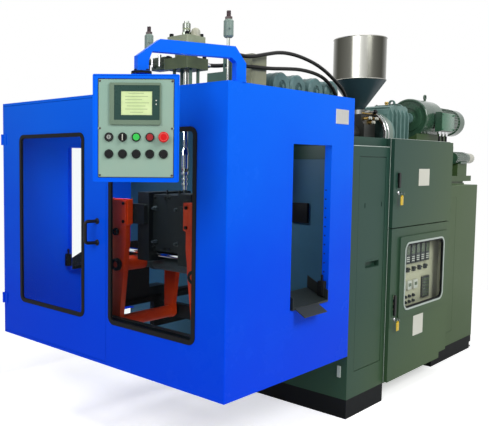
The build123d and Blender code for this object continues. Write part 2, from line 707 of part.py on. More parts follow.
# Clamp cylinder between the levers, on the left pin; its rod runs to the right pin.
eye_y = (front + 274.0, front + 346.0)
with BuildPart() as clamp_cylinder:
    with BuildSketch(front_plane(eye_y[0])):
        with Locations((-pin_x, pin_z)):
            Circle(34)
        with Locations((-pin_x + 30, pin_z)):
            Rectangle(40, 50)
    extrude(amount=eye_y[0] - eye_y[1])
    rod((-212, front + 310, pin_z), (1, 0, 0), 36, 270)
    rod((-212, front + 310, pin_z), (1, 0, 0), 40, 22)
    rod((36, front + 310, pin_z), (1, 0, 0), 40, 24)
    rod((-pin_x, front + 200, pin_z), (0, 1, 0), 18 + run, 200, Mode.SUBTRACT)
    rod((-196, front + 310, pin_z), (1, 0, 0), 15 + run, 300, Mode.SUBTRACT)
keep(clamp_cylinder, "clamp_cylinder")
with BuildPart() as clamp_rod:
    rod((-190, front + 310, pin_z), (1, 0, 0), 15, 420)
    rod((216, front + 310, pin_z), (1, 0, 0), 24, 20)
    with BuildSketch(front_plane(eye_y[0])):
        with Locations((pin_x, pin_z)):
            Circle(32)
    extrude(amount=eye_y[0] - eye_y[1])
    # the eye has play, as the pin moves on an arc
    rod((pin_x, front + 200, pin_z), (0, 1, 0), 18.8, 200, Mode.SUBTRACT)
keep(clamp_rod, "clamp_rod")

# Blow unit. Bracket over the roof well, on two beams from the base.
guide_x = 254.0
with BuildPart() as blow_bracket:
    for beam_x in (-185, 185):
        block(beam_x - 15, beam_x + 15, station - 40, back + 95, 1636, 1668)
        block(beam_x - 15, beam_x + 15, back + 60, back + 95, tray, 1640)
    block(-290, 290, station - 36, station + 36, 1640, 1670)
    # right cheek with a round hole
    with BuildSketch(front_plane(station + 14)):
        with BuildLine():
            Polyline(
                (120, 1668), (286, 1668), (286, 1786), (270, 1800), (214, 1800), (214, 1722),
                (120, 1722), close=True,
            )
        make_face()
        with Locations((232, 1745)):
            Circle(11, mode=Mode.SUBTRACT)
    extrude(amount=-10)
    for post_x in (-52, 52):
        for post_y in (-52, 52):
            rod((post_x, station + post_y * 0.5, 1668), (0, 0, 1), 8, 78)
    for x in (-guide_x, guide_x):
        rod((x, station, 1636), (0, 0, 1), 7 + run, 40, Mode.SUBTRACT)
    rod((0, station, 1636), (0, 0, 1), 12 + run, 40, Mode.SUBTRACT)
keep(blow_bracket, "blow_bracket")

# Blow cylinder: lower flange, barrel, head block with cap screws, gland nut.
with BuildPart() as blow_cylinder:
    with BuildSketch(Plane.XY.offset(1746)):
        with Locations((0, station)):
            RectangleRounded(152, 152, 8)
    extrude(amount=52)
    with BuildSketch(Plane.XY.offset(1790)):
        with Locations((0, station)):
            Circle(54)
    extrude(amount=60)
    with BuildSketch(Plane.XY.offset(1838)):
        with Locations((0, station)):
            RectangleRounded(132, 132, 8)
    extrude(amount=62)
    with BuildSketch(Plane.XY.offset(1900)):
        with Locations((0, station)):
            with GridLocations(100, 100, 2, 2):
                Circle(10)
    extrude(amount=14)
    with BuildSketch(Plane.XY.offset(1798)):
        with Locations((0, station)):
            with GridLocations(122, 122, 2, 2):
                Circle(9)
    extrude(amount=13)
    with BuildSketch(Plane.XY.offset(1900)):
        with Locations((0, station)):
            RegularPolygon(22, 6)
    extrude(amount=22)
    rod((0, station, 1920), (0, 0, 1), 19, 44)
    # domed cushion cap beside the gland
    rod((40, station + 20, 1900), (0, 0, 1), 22, 20)
    with Locations((40, station + 20, 1920)):
        Sphere(22)
    rod((0, station, 1740), (0, 0, 1), 12 + run, 240, Mode.SUBTRACT)
keep(blow_cylinder, "blow_cylinder")

# Blow pin: chrome rod and nozzle, crosshead, two guide rods with stop collars.
with BuildPart() as blow_pin:
    with BuildSketch(Plane(origin=(0, station, 0), x_dir=(1, 0, 0), z_dir=(0, -1, 0))):
        with BuildLine():
            Polyline(
                (0, 1162), (9, 1162), (11, 1176), (11, 1198), (17, 1200), (17, 1210), (12, 1212),
                (12, 1222), (17, 1224), (17, 1232), (12, 1234), (12, 1246), (20, 1250), (20, 1262),
                (14, 1266), (19, 1280), (19, 1345), (12, 1378), (12, 1975), (0, 1975), close=True,
            )
        make_face()
    revolve(axis=Axis(origin=(0, station, 0), direction=(0, 0, 1)))
    block(-278, 278, station - 26, station + 26, 1540, 1572)
    for x in (-guide_x, guide_x):
        rod((x, station, 1541), (0, 0, 1), 7, 330)
        with Locations((x, station, 1867)):
            Cone(16, 22, 7, align=(Align.CENTER, Align.CENTER, Align.MIN))
        rod((x, station, 1874), (0, 0, 1), 22, 66)
        with Locations((x, station, 1940)):
            Cone(22, 16, 7, align=(Align.CENTER, Align.CENTER, Align.MIN))
        with BuildSketch(Plane.XY.offset(1946)):
            with Locations((x, station)):
                RegularPolygon(14, 6)
        extrude(amount=12)
        rod((x, station, 1957), (0, 0, 1), 9, 28)
keep(blow_pin, "blow_pin")

# Extruder. Die head with die ring, adapter and the block of the wall thickness drive.
die_y = front + 690.0
die_low = screw_z - 277
with BuildPart() as die_head:
    with BuildSketch(Plane(origin=(0, die_y, 0), x_dir=(1, 0, 0), z_dir=(0, -1, 0))):
        with BuildLine():
            Polyline(
                (0, die_low), (34, die_low), (46, die_low + 16), (58, die_low + 16), (58, die_low + 44),
                (74, die_low + 48), (74, screw_z - 53), (66, screw_z - 45), (66, screw_z + 55),
                (84, screw_z + 59), (84, screw_z + 85), (0, screw_z + 85), close=True,
            )
        make_face()
    revolve(axis=Axis(origin=(0, die_y, 0), direction=(0, 0, 1)))
    rod((0, die_y, screw_z), (0, 1, 0), 48, 98)
    with BuildSketch(Plane.XY.offset(screw_z + 85)):
        with Locations((0, die_y + 123)):
            RectangleRounded(112, 130, 8)
        with Locations((0, die_y + 40)):
            Rectangle(70, 120)
    extrude(amount=50)
    with BuildSketch(Plane.XY.offset(screw_z + 135)):
        with Locations((0, die_y + 123)):
            RectangleRounded(118, 130, 6)
    extrude(amount=232)
keep(die_head, "die_head")

throat = screw_z + 123
with BuildPart() as barrel:
    rod((0, die_y + 98, screw_z), (0, 1, 0), 52, hopper_y - 60 - die_y - 98)
    rod((0, die_y + 98, screw_z), (0, 1, 0), 78, 34)
    for band_y in (-640, -470, -300, -60, 120):
        rod((0, band_y, screw_z), (0, 1, 0), 62, 60)
    with BuildSketch(front_plane(hopper_y - 70)):
        with BuildLine():
            Polyline(
                (-82, screw_z - 85), (82, screw_z - 85), (82, screw_z + 55), (60, screw_z + 85),
                (60, throat), (-60, throat), (-60, screw_z + 85), (-82, screw_z + 55), close=True,
            )
        make_face()
    extrude(amount=-146)
    rod((0, die_y + 97, screw_z), (0, 1, 0), 25, 600 - die_y, Mode.SUBTRACT)
    rod((0, hopper_y, screw_z), (0, 0, 1), 28, 130, Mode.SUBTRACT)
keep(barrel, "barrel")

# Screw: plain outline in the barrel, coned tip, shank into the gearbox.
screw_y0 = die_y + 110.0
with BuildPart() as screw:
    rod((0, screw_y0 + 30, screw_z), (0, 1, 0), 25 - run, 470 - screw_y0 - 30)
    with Locations(Plane(origin=(0, screw_y0 + 30, screw_z), z_dir=(0, -1, 0))):
        Cone(25 - run, 3, 30, align=(Align.CENTER, Align.CENTER, Align.MIN))
    rod((0, 470, screw_z), (0, 1, 0), 24, 180)
keep(screw, "screw")

# Cooling blowers on the barrel, one per heating zone.
blower_y = (-550.0, -391.0, -205.0, -30.0)
blower_z = screw_z + 223
with BuildPart() as barrel_blowers:
    for centre_y in blower_y:
        rod((-55, centre_y, blower_z), (1, 0, 0), 76, 110)
        block(-38, 38, centre_y - 38, centre_y + 38, screw_z + 43, blower_z - 48)
        block(-30, 30, centre_y - 48, centre_y + 48, screw_z + 61, screw_z + 95)
    chamfer(barrel_blowers.faces().filter_by(Axis.X).sort_by(SortBy.AREA)[-8:].edges(), 8)
    rod((0, -800, screw_z), (0, 1, 0), 62 + gap, 1100, Mode.SUBTRACT)
    for centre_y in blower_y:
        rod((50, centre_y, blower_z), (1, 0, 0), 34, 20, Mode.SUBTRACT)
keep(barrel_blowers, "barrel_blowers")

# Hopper: stainless cylinder and cone with a gate housing at the throat.
rim = throat + 484
with BuildPart() as hopper:
    with BuildSketch(Plane(origin=(0, hopper_y, 0), x_dir=(1, 0, 0), z_dir=(0, -1, 0))):
        with BuildLine():
            Polyline(
                (162, rim), (165, rim), (165, throat + 222), (168, throat + 218), (165, throat + 214),
                (33, throat + 32), (33, throat + 28), (30, throat + 28), (30, throat + 33),
                (160, throat + 215), (162, throat + 222), close=True,
            )
        make_face()
    revolve(axis=Axis(origin=(0, hopper_y, 0), direction=(0, 0, 1)))
    block(-58, 58, hopper_y - 50, hopper_y + 50, throat, throat + 29)
    rod((0, hopper_y, throat - 8), (0, 0, 1), 28, 50, Mode.SUBTRACT)
    block(-46, 60, hopper_y - 34.3, hopper_y + 34.3, throat + 9.7, throat + 16.3, Mode.SUBTRACT)
keep(hopper, "hopper")
with BuildPart() as hopper_gate:
    block(34, 92, hopper_y - 34, hopper_y + 34, throat + 10, throat + 16)
    rod((92, hopper_y, throat + 13), (1, 0, 0), 7, 22)
    rod((112, hopper_y, throat + 13), (1, 0, 0), 14, 12)
keep(hopper_gate, "hopper_gate")

# Gearbox: lantern with two bright flange rings, ribbed case and input shaft.
case_top = screw_z + 199
with BuildPart() as gearbox:
    rod((0, 480, screw_z), (0, 1, 0), 146, 140)
    rod((0, 480, screw_z), (0, 1, 0), 152, 12)
    rod((0, 520, screw_z), (0, 1, 0), 152, 12)
    rod((0, 479, screw_z), (0, 1, 0), 136, 121, Mode.SUBTRACT)
    with BuildSketch(side_plane(-100)):
        with BuildLine():
            Polyline(
                (600, tray), (960, tray), (960, tray + 22), (900, tray + 22), (900, case_top - 14),
                (870, case_top), (700, case_top), (620, case_top - 32), (600, case_top - 64), close=True,
            )
        make_face()
    extrude(amount=200)
    for rib_y in (640, 700, 760, 820, 880):
        with BuildSketch(front_plane(rib_y)):
            with BuildLine():
                Polyline(
                    (-118, tray + 40), (118, tray + 40), (118, case_top - 64), (96, case_top - 14),
                    (-96, case_top - 14), (-118, case_top - 64), close=True,
                )
            make_face()
        extrude(amount=-10)
    with BuildSketch(Plane.XY.offset(case_top)):
        with Locations((0, 790)):
            RectangleRounded(120, 120, 8)
    extrude(amount=8)
    rod((0, 900, motor_z), (0, 1, 0), 26, 232)
    rod((0, 900, motor_z), (0, 1, 0), 92, 24)
    rod((0, 1104, motor_z), (0, 1, 0), 40, 28)
    rod((0, 600, screw_z), (0, 1, 0), 24 + run, 60, Mode.SUBTRACT)
    # lifting eye
    with BuildSketch(front_plane(870)):
        with Locations((0, case_top + 30)):
            Circle(22)
            Circle(13, mode=Mode.SUBTRACT)
    extrude(amount=-9, both=True)
    rod((0, 870, case_top - 4), (0, 0, 1), 9, 14)
keep(gearbox, "gearbox")

# Speed drum of the drive: cup with a dished end, a bolt circle and a lifting eye.
with BuildPart() as speed_drum:
    with BuildSketch(Plane(origin=(0, 0, motor_z), x_dir=(0, 1, 0), z_dir=(1, 0, 0))):
        with BuildLine():
            Polyline(
                (1132, 0), (1132, 48), (1137, 51), (1137, 70), (1132, 73), (1132, 96), (1138, 100),
                (1138, 124), (1132, 128), (1132, 136), (1138, 142), (1432, 142), (1440, 134), (1440, 0),
                close=True,
            )
        make_face()
    revolve(axis=Axis(origin=(0, 0, motor_z), direction=(0, 1, 0)))
    with BuildSketch(front_plane(1138)):
        with Locations((0, motor_z)):
            with PolarLocations(112, 8):
                Circle(8)
    extrude(amount=4)
    rod((0, 1410, motor_z + 138), (0, 0, 1), 9, 20)
    with BuildSketch(side_plane(0)):
        with Locations((1410, motor_z + 172)):
            Circle(20)
            Circle(12, mode=Mode.SUBTRACT)
    extrude(amount=5, both=True)
keep(speed_drum, "speed_drum")

# Main motor: finned body, domed fan cover and terminal box on its right.
with BuildPart() as main_motor:
    rod((0, 1440, motor_z), (0, 1, 0), 98, 400)
    with BuildSketch(front_plane(1470)):
        with Locations((0, motor_z)):
            with PolarLocations(102, 22, start_angle=-38, angular_range=256):
                Rectangle(12, 4)
    extrude(amount=-350)
    with BuildSketch(Plane(origin=(0, 0, motor_z), x_dir=(0, 1, 0), z_dir=(1, 0, 0))):
        with BuildLine():
            Polyline((1838, 0), (1838, 106), (1930, 106), (1956, 92), (1961, 60), (1961, 0), close=True)
        make_face()
    revolve(axis=Axis(origin=(0, 0, motor_z), direction=(0, 1, 0)))
    block(60, 150, 1444, 1500, motor_z - 40, motor_z + 40)
    # terminal box with its lid
    block(146, 182, 1262, 1500, motor_z - 94, motor_z + 48)
    block(182, 192, 1266, 1496, motor_z - 90, motor_z + 44)
keep(main_motor, "main_motor")


def hose(points, radius):
    # straight runs joined by arcs, each arc as wide as its shorter run allows
    radii = []
    for first, middle, last in zip(points, points[1:], points[2:]):
        one = Vector(*middle) - Vector(*first)
        two = Vector(*last) - Vector(*middle)
        half = math.radians(one.get_angle(two)) / 2
        radii.append(0.45 * min(one.length, two.length) / math.tan(half))
    with BuildPart() as tube:
        with BuildLine() as path:
            FilletPolyline(*points, radius=radii)
        with BuildSketch(Plane(origin=path.line @ 0, z_dir=path.line % 0)):
            Circle(radius)
        sweep(path=path.line)
    print("hose length", round(path.wire().length), "radii", [round(r) for r in radii])
    return tube


# Two hoses from the blow cylinder over the barrel to the bed.
hose_r = 10.0
upper_route = [
    (50, station + 66, 1862), (50, -1140, 1862), (86, -1040, 1846), (96, -910, 1838), (96, -777, 1868),
    (96, -626, 1899), (96, -453, 1898), (96, -246, 1866), (96, -76, 1802), (96, 44, 1741),
    (96, 100, 1640), (96, 120, 1486), (96, 120, tray),
]
lower_route = [
    (42, station + 76, 1776), (42, -1126, 1776), (66, -1020, 1792), (70, -880, 1800), (70, -700, 1806),
    (70, -560, 1820), (70, -380, 1834), (70, -189, 1820), (70, -80, 1778), (70, -15, 1728),
    (70, 40, 1634), (70, 56, 1486), (70, 56, tray),
]
keep(hose(upper_route, hose_r), "upper_hose")
keep(hose(lower_route, hose_r), "lower_hose")

# Operator arm: bent flat bar in an upright plane, with the swivel flange at its end.
arm_foot = (side - 25, front + 95.0)
swivel = (side - 164, front - 316)
reach = math.dist(arm_foot, swivel)
arm_dir = ((swivel[0] - arm_foot[0]) / reach, (swivel[1] - arm_foot[1]) / reach)
flange_z = top + 6
with BuildPart() as hmi_arm:
    with BuildSketch(Plane(origin=(*arm_foot, 0), x_dir=(*arm_dir, 0), z_dir=(arm_dir[1], -arm_dir[0], 0))):
        with BuildLine():
            Polyline(
                (-23, flange_z), (-23, flange_z + 70), (28, flange_z + 134), (reach - 71, flange_z + 134),
                (reach + 23, flange_z + 67),
                (reach + 23, flange_z + 10), (reach - 23, flange_z + 10), (reach - 23, flange_z + 50),
                (reach - 38, flange_z + 86), (45, flange_z + 88), (23, flange_z + 72),
                (23, flange_z), close=True,
            )
        make_face()
    extrude(amount=16, both=True)
    rod((*arm_foot, top - 34), (0, 0, 1), 10, 60)
    rod((*arm_foot, flange_z), (0, 0, 1), 30, 5)
    rod((*swivel, flange_z), (0, 0, 1), 38, 11)
    rod((*swivel, top - 34), (0, 0, 1), 10, 60)
keep(hmi_arm, "operator_arm")

# Operator panel: box on the swivel, front plate, screen, switches and buttons.
box_w = 320.0
box_h = 396.0
box_front = 50.0
panel_z = flange_z - 6 - box_h / 2
face = Plane(origin=(*swivel, panel_z), x_dir=(1, 1, 0), z_dir=(1, -1, 0))
panel_u = -18.0
screen_v = box_h / 2 - 108


def on_face(depth):
    return face.offset(depth)


with BuildPart() as hmi_box:
    with BuildSketch(on_face(-50)):
        with Locations((panel_u, 0)):
            RectangleRounded(box_w, box_h, 6)
    extrude(amount=50 + box_front)
    with BuildSketch(on_face(box_front)):
        with Locations((panel_u, 0)):
            Rectangle(box_w - 40, box_h - 34)
    extrude(amount=-80, mode=Mode.SUBTRACT)
    rod((*swivel, top - 20), (0, 0, 1), 20, 20 + 5.7)
    rod((*swivel, top - 40), (0, 0, 1), 10 + run, 60, Mode.SUBTRACT)
keep(hmi_box, "panel_box")

pitch_u = (box_w - 118) / 4
upper_v = screen_v - 122
lower_v = upper_v - 62
columns = [panel_u + 1 + pitch_u * step for step in range(-2, 3)]
key, selector, green, red, stop = [(column, upper_v) for column in columns]
black_row = [(column, lower_v) for column in columns]
cap_r = 12.5
stem_r = 9.0
with BuildPart() as hmi_plate:
    with BuildSketch(on_face(box_front)):
        with Locations((panel_u, 0)):
            Rectangle(box_w - 40, box_h - 34)
        with Locations((panel_u - 3, screen_v)):
            Rectangle(170, 134, mode=Mode.SUBTRACT)
    extrude(amount=-3)
    with BuildSketch(on_face(box_front)):
        with Locations((panel_u, 0)):
            with Locations((23 - box_w / 2, 0), (box_w / 2 - 23, 0)):
                Circle(3.5)
    extrude(amount=2)
    # collar and stepped bore of each switch and button
    with BuildSketch(on_face(box_front)):
        with Locations(key, selector, green, red, stop, *black_row):
            Circle(15)
    extrude(amount=6)
    with BuildSketch(on_face(box_front + 7)):
        with Locations(key, selector, green, red, stop, *black_row):
            Circle(cap_r + run)
    extrude(amount=-7, mode=Mode.SUBTRACT)
    with BuildSketch(on_face(box_front + 1)):
        with Locations(key, selector, green, red, stop, *black_row):
            Circle(stem_r + run)
    extrude(amount=-20, mode=Mode.SUBTRACT)
keep(hmi_plate, "panel_plate")

with BuildPart() as touch_screen:
    with BuildSketch(on_face(box_front)):
        with Locations((panel_u - 3, screen_v)):
            RectangleRounded(190, 153, 5)
    extrude(amount=6)
    with BuildSketch(on_face(box_front)):
        with Locations((panel_u - 3, screen_v)):
            Rectangle(169, 133)
    extrude(amount=-40)
    with BuildSketch(on_face(box_front + 6)):
        with Locations((panel_u + 3, screen_v + 4)):
            Rectangle(168, 127)
    extrude(amount=-1.5, mode=Mode.SUBTRACT)
    with BuildSketch(on_face(box_front + 4.5)):
        with Locations((panel_u + 2, screen_v + 2)):
            Rectangle(115, 88)
    extrude(amount=-1.5, mode=Mode.SUBTRACT)
keep(touch_screen, "touch_screen")


def control(centre, start, rise):
    # cap in the collar with a stem through the sleeve
    with BuildSketch(on_face(box_front + start)) as cap:
        with Locations(centre):
            Circle(cap_r)
    extrude(cap.sketch, amount=rise)
    with BuildSketch(on_face(box_front + start)) as stem:
        with Locations(centre):
            Circle(stem_r)
    extrude(stem.sketch, amount=-26 - start)


outward = Axis(origin=(0, 0, 0), direction=(1, -1, 0))
for centre, word in [(green, "green_button"), (red, "red_button")] + [
    (place, "black_button_" + str(number + 1)) for number, place in enumerate(black_row)
]:
    with BuildPart() as push_button:
        control(centre, 3.5, 6)
        chamfer(push_button.faces().sort_by(outward)[-1].edges(), 1.2)
    keep(push_button, word)

with BuildPart() as emergency_stop:
    control(stop, 5, 6)
    with BuildSketch(on_face(box_front + 11)):
        with Locations(stop):
            Circle(19.5)
    extrude(amount=13)
    fillet(emergency_stop.faces().sort_by(outward)[-1].edges(), 5)
keep(emergency_stop, "emergency_stop")

with BuildPart() as key_switch:
    control(key, 1, 7)
    with BuildSketch(on_face(box_front + 8)):
        with Locations(key):
            SlotOverall(13, 3)
    extrude(amount=-4, mode=Mode.SUBTRACT)
keep(key_switch, "key_switch")
with BuildPart() as selector_switch:
    control(selector, 1, 6)
    with BuildSketch(on_face(box_front + 7)):
        with Locations((selector[0], selector[1] - 3)):
            SlotOverall(30, 9, rotation=90)
    extrude(amount=9)
keep(selector_switch, "selector_switch")
print("saved", len(os.listdir("parts")), "parts")
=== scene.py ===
import math

import bmesh
import bpy
from mathutils import Matrix, Vector


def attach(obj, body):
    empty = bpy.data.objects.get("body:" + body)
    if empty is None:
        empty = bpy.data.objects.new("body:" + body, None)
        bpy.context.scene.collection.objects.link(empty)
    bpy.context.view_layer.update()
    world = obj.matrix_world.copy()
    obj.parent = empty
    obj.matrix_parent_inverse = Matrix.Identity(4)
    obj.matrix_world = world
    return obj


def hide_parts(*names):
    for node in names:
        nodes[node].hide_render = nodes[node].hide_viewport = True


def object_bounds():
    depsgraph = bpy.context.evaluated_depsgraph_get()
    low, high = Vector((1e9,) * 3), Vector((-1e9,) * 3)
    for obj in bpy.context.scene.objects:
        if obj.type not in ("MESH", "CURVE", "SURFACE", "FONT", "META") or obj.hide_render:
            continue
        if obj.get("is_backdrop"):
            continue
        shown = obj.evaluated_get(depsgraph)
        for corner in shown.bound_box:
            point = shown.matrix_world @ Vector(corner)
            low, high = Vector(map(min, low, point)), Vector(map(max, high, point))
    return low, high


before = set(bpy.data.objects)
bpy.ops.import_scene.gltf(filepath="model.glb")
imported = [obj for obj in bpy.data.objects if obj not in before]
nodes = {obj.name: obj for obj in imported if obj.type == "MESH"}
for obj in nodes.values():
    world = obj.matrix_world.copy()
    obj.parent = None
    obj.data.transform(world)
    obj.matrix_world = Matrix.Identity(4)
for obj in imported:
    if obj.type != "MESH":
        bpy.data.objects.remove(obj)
cad_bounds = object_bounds()

# Camera. It stands off the right front corner at eye height, turned towards the guard,
# with the frame slid to the right as the photograph is.
camera_data = bpy.data.cameras.new("camera")
camera_data.sensor_width = 36.0
camera_data.lens = 48.96
camera_data.shift_x = 0.193
camera_data.clip_end = 60.0
camera = bpy.data.objects.new("camera", camera_data)
bpy.context.scene.collection.objects.link(camera)
turn = math.radians(45.4)
dip = math.radians(4.3)
lean = math.radians(-0.4)
flat = math.cos(dip)
looking = Vector((-math.sin(turn) * flat, math.cos(turn) * flat, -math.sin(dip)))
across = Vector((math.cos(turn), math.sin(turn), 0))
down = looking.cross(across)
level = across * math.cos(lean) + down * math.sin(lean)
upright = -(down * math.cos(lean) - across * math.sin(lean))
camera_spot = (2.167, -3.641, 1.305)
camera_axes = Matrix((level, upright, -looking)).transposed().to_4x4()
camera.matrix_world = Matrix.Translation(camera_spot) @ camera_axes
bpy.context.scene.camera = camera

# Air hoses: reinforced black rubber, crimped at both ends. They leave the blow cylinder,
# rise over the barrel and drop to the bed just ahead of the hopper. The first finish and
# the first turned shapes are made here.
class Wire:
    """A value inside a finish; arithmetic on it adds its Math nodes."""

    def __init__(self, tree, socket):
        self.tree = tree
        self.socket = socket

    def join(self, operation, first, second=0.0):
        step = self.tree.nodes.new("ShaderNodeMath")
        step.operation = operation
        for entry, value in zip(step.inputs, (first, second)):
            if isinstance(value, Wire):
                self.tree.links.new(value.socket, entry)
            else:
                entry.default_value = value
        return Wire(self.tree, step.outputs[0])

    def __add__(self, other):
        return self.join("ADD", self, other)

    def __sub__(self, other):
        return self.join("SUBTRACT", self, other)

    def __rsub__(self, other):
        return self.join("SUBTRACT", other, self)

    def __mul__(self, other):
        return self.join("MULTIPLY", self, other)

    __radd__ = __add__
    __rmul__ = __mul__


class Finish:
    """One procedural finish on the shader's own sockets."""

    def __init__(self, name, color, roughness, metallic=0.0, coat=0.0, sheen=0.5):
        self.material = bpy.data.materials.new(name)
        self.material.use_nodes = True
        self.tree = self.material.node_tree
        self.shader = self.tree.nodes["Principled BSDF"]
        self.shader.inputs["Base Color"].default_value = (*color, 1)
        self.shader.inputs["Roughness"].default_value = roughness
        self.shader.inputs["Metallic"].default_value = metallic
        self.shader.inputs["Coat Weight"].default_value = coat
        self.shader.inputs["Coat Roughness"].default_value = 0.08
        self.shader.inputs["Specular IOR Level"].default_value = sheen
        self.place = self.node("ShaderNodeTexCoord", "Object")

    def node(self, kind, output, settings=None, **values):
        made = self.tree.nodes.new(kind)
        for key, value in (settings or {}).items():
            if key == "stops":
                while len(made.color_ramp.elements) < len(value):
                    made.color_ramp.elements.new(1.0)
                for element, (position, color) in zip(made.color_ramp.elements, value):
                    element.position = position
                    element.color = color
            else:
                setattr(made, key, value)
        for key, value in values.items():
            slots = [s for s in made.inputs if s.name.replace(" ", "_") == key and s.enabled]
            if isinstance(value, Wire):
                self.tree.links.new(value.socket, slots[0])
            else:
                slots[0].default_value = value
        return Wire(self.tree, [s for s in made.outputs if s.name == output and s.enabled][0])

    def noise(self, scale, detail=4.0, stretch=None, place=None):
        place = place or self.place
        if stretch:
            place = self.node("ShaderNodeMapping", "Vector", None, Vector=place, Scale=stretch)
        return self.node(
            "ShaderNodeTexNoise", "Fac", None,
            Vector=place, Scale=scale, Detail=detail, Roughness=0.6,
        )

    def step(self, value, low, high):
        return self.node(
            "ShaderNodeMapRange", "Result", {"interpolation_type": "SMOOTHSTEP"},
            Value=value, From_Min=low, From_Max=high,
        )

    def tint(self, factor, first, second):
        sides = {}
        for name, color in (("A", first), ("B", second)):
            sides[name] = color if isinstance(color, Wire) else (*color, 1)
        return self.node("ShaderNodeMix", "Result", {"data_type": "RGBA"}, Factor=factor, **sides)

    def feed(self, socket, value):
        self.tree.links.new(value.socket, self.shader.inputs[socket])

    def relief(self, height, distance):
        bump = self.node("ShaderNodeBump", "Normal", None, Height=height, Distance=distance)
        self.feed("Normal", bump)


def enamel(name, color, shade, roughness, peel=0.0001, coat=0.0, patch=1.4, grit=60.0, sheen=0.25):
    finish = Finish(name, color, roughness, 0.0, coat, sheen)
    cloud = finish.step(finish.noise(patch, 6.0), 0.35, 0.7)
    dust = finish.noise(grit, 3.0)
    finish.feed("Base Color", finish.tint(cloud, color, shade))
    finish.feed("Roughness", cloud * 0.1 + (dust - 0.5) * 0.12 + roughness)
    finish.relief(finish.noise(230.0, 2.0), peel)
    return finish.material


def metal(name, color, shade, roughness, scratches=(1, 1, 40), depth=0.00003, edge=0.25):
    finish = Finish(name, color, roughness, 1.0)
    streak = finish.noise(30.0, 3.0, scratches)
    # Painted reflection: where the surface turns away from the camera, its colour darkens to the
    # edge share of itself, standing for dark surroundings mirrored at grazing angles.
    facing = finish.node("ShaderNodeLayerWeight", "Facing", None, Blend=0.5)
    painted_reflection_dark = finish.step(facing, 0.25, 0.95)
    grain = finish.tint(finish.step(streak, 0.3, 0.7), shade, color)
    finish.feed("Base Color", finish.tint(painted_reflection_dark, grain, tuple(edge * part for part in color)))
    finish.feed("Roughness", (streak - 0.5) * 0.18 + roughness)
    finish.relief(streak, depth)
    return finish.material


rightward, frontward, backward = (1, 0, 0), (0, -1, 0), (0, 1, 0)
upward, downward = (0, 0, 1), (0, 0, -1)


def turned(shape, line, start, along, steps=32):
    """Spins a line of (radius, height) pairs round an axis and closes it."""
    place = Matrix.Translation(start) @ Vector(along).to_track_quat("Z", "Y").to_matrix().to_4x4()
    points = [shape.verts.new(place @ Vector((radius, 0, height))) for radius, height in line]
    sides = [shape.edges.new(pair) for pair in zip(points, points[1:])]
    bmesh.ops.spin(
        shape, geom=points + sides, cent=start, axis=place.to_3x3() @ Vector((0, 0, 1)),
        angle=math.tau, steps=steps, use_merge=True,
    )
    bmesh.ops.remove_doubles(shape, verts=shape.verts, dist=1e-6)


def bar(shape, start, end, radius, sides=20, tip=None):
    """A straight round, six-sided or tapered bar between two points."""
    start, end = Vector(start), Vector(end)
    along = end - start
    turn = along.to_track_quat("Z", "Y").to_matrix().to_4x4()
    bmesh.ops.create_cone(
        shape, cap_ends=True, segments=sides, radius1=radius,
        radius2=radius if tip is None else tip, depth=along.length,
        matrix=Matrix.Translation((start + end) / 2) @ turn,
    )


def slab(shape, low, high, edge=0.0, cuts=2):
    """A plate or box between two corners, its edges rounded."""
    corners = bmesh.ops.create_cube(shape, size=1.0)["verts"]
    low, high = Vector(low), Vector(high)
    bmesh.ops.scale(shape, vec=high - low, verts=corners)
    bmesh.ops.translate(shape, vec=(low + high) / 2, verts=corners)
    if edge:
        rims = list(dict.fromkeys(rim for corner in corners for rim in corner.link_edges))
        bmesh.ops.bevel(
            shape, geom=rims, offset=edge, offset_type="OFFSET", affect="EDGES", segments=cuts,
            profile=0.5, material=-1,
        )


def piece(name, shape, finish, body, place=None):
    """Closes a bmesh into a piece of that finish, riding a body."""
    if place is not None:
        bmesh.ops.transform(shape, matrix=place, verts=shape.verts)
    bmesh.ops.recalc_face_normals(shape, faces=shape.faces)
    mesh = bpy.data.meshes.new(name)
    shape.to_mesh(mesh)
    shape.free()
    mesh.materials.append(finish)
    mesh.shade_smooth()
    mesh.set_sharp_from_angle(angle=math.radians(32))
    made = bpy.data.objects.new(name, mesh)
    bpy.context.scene.collection.objects.link(made)
    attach(made, body)
    return made


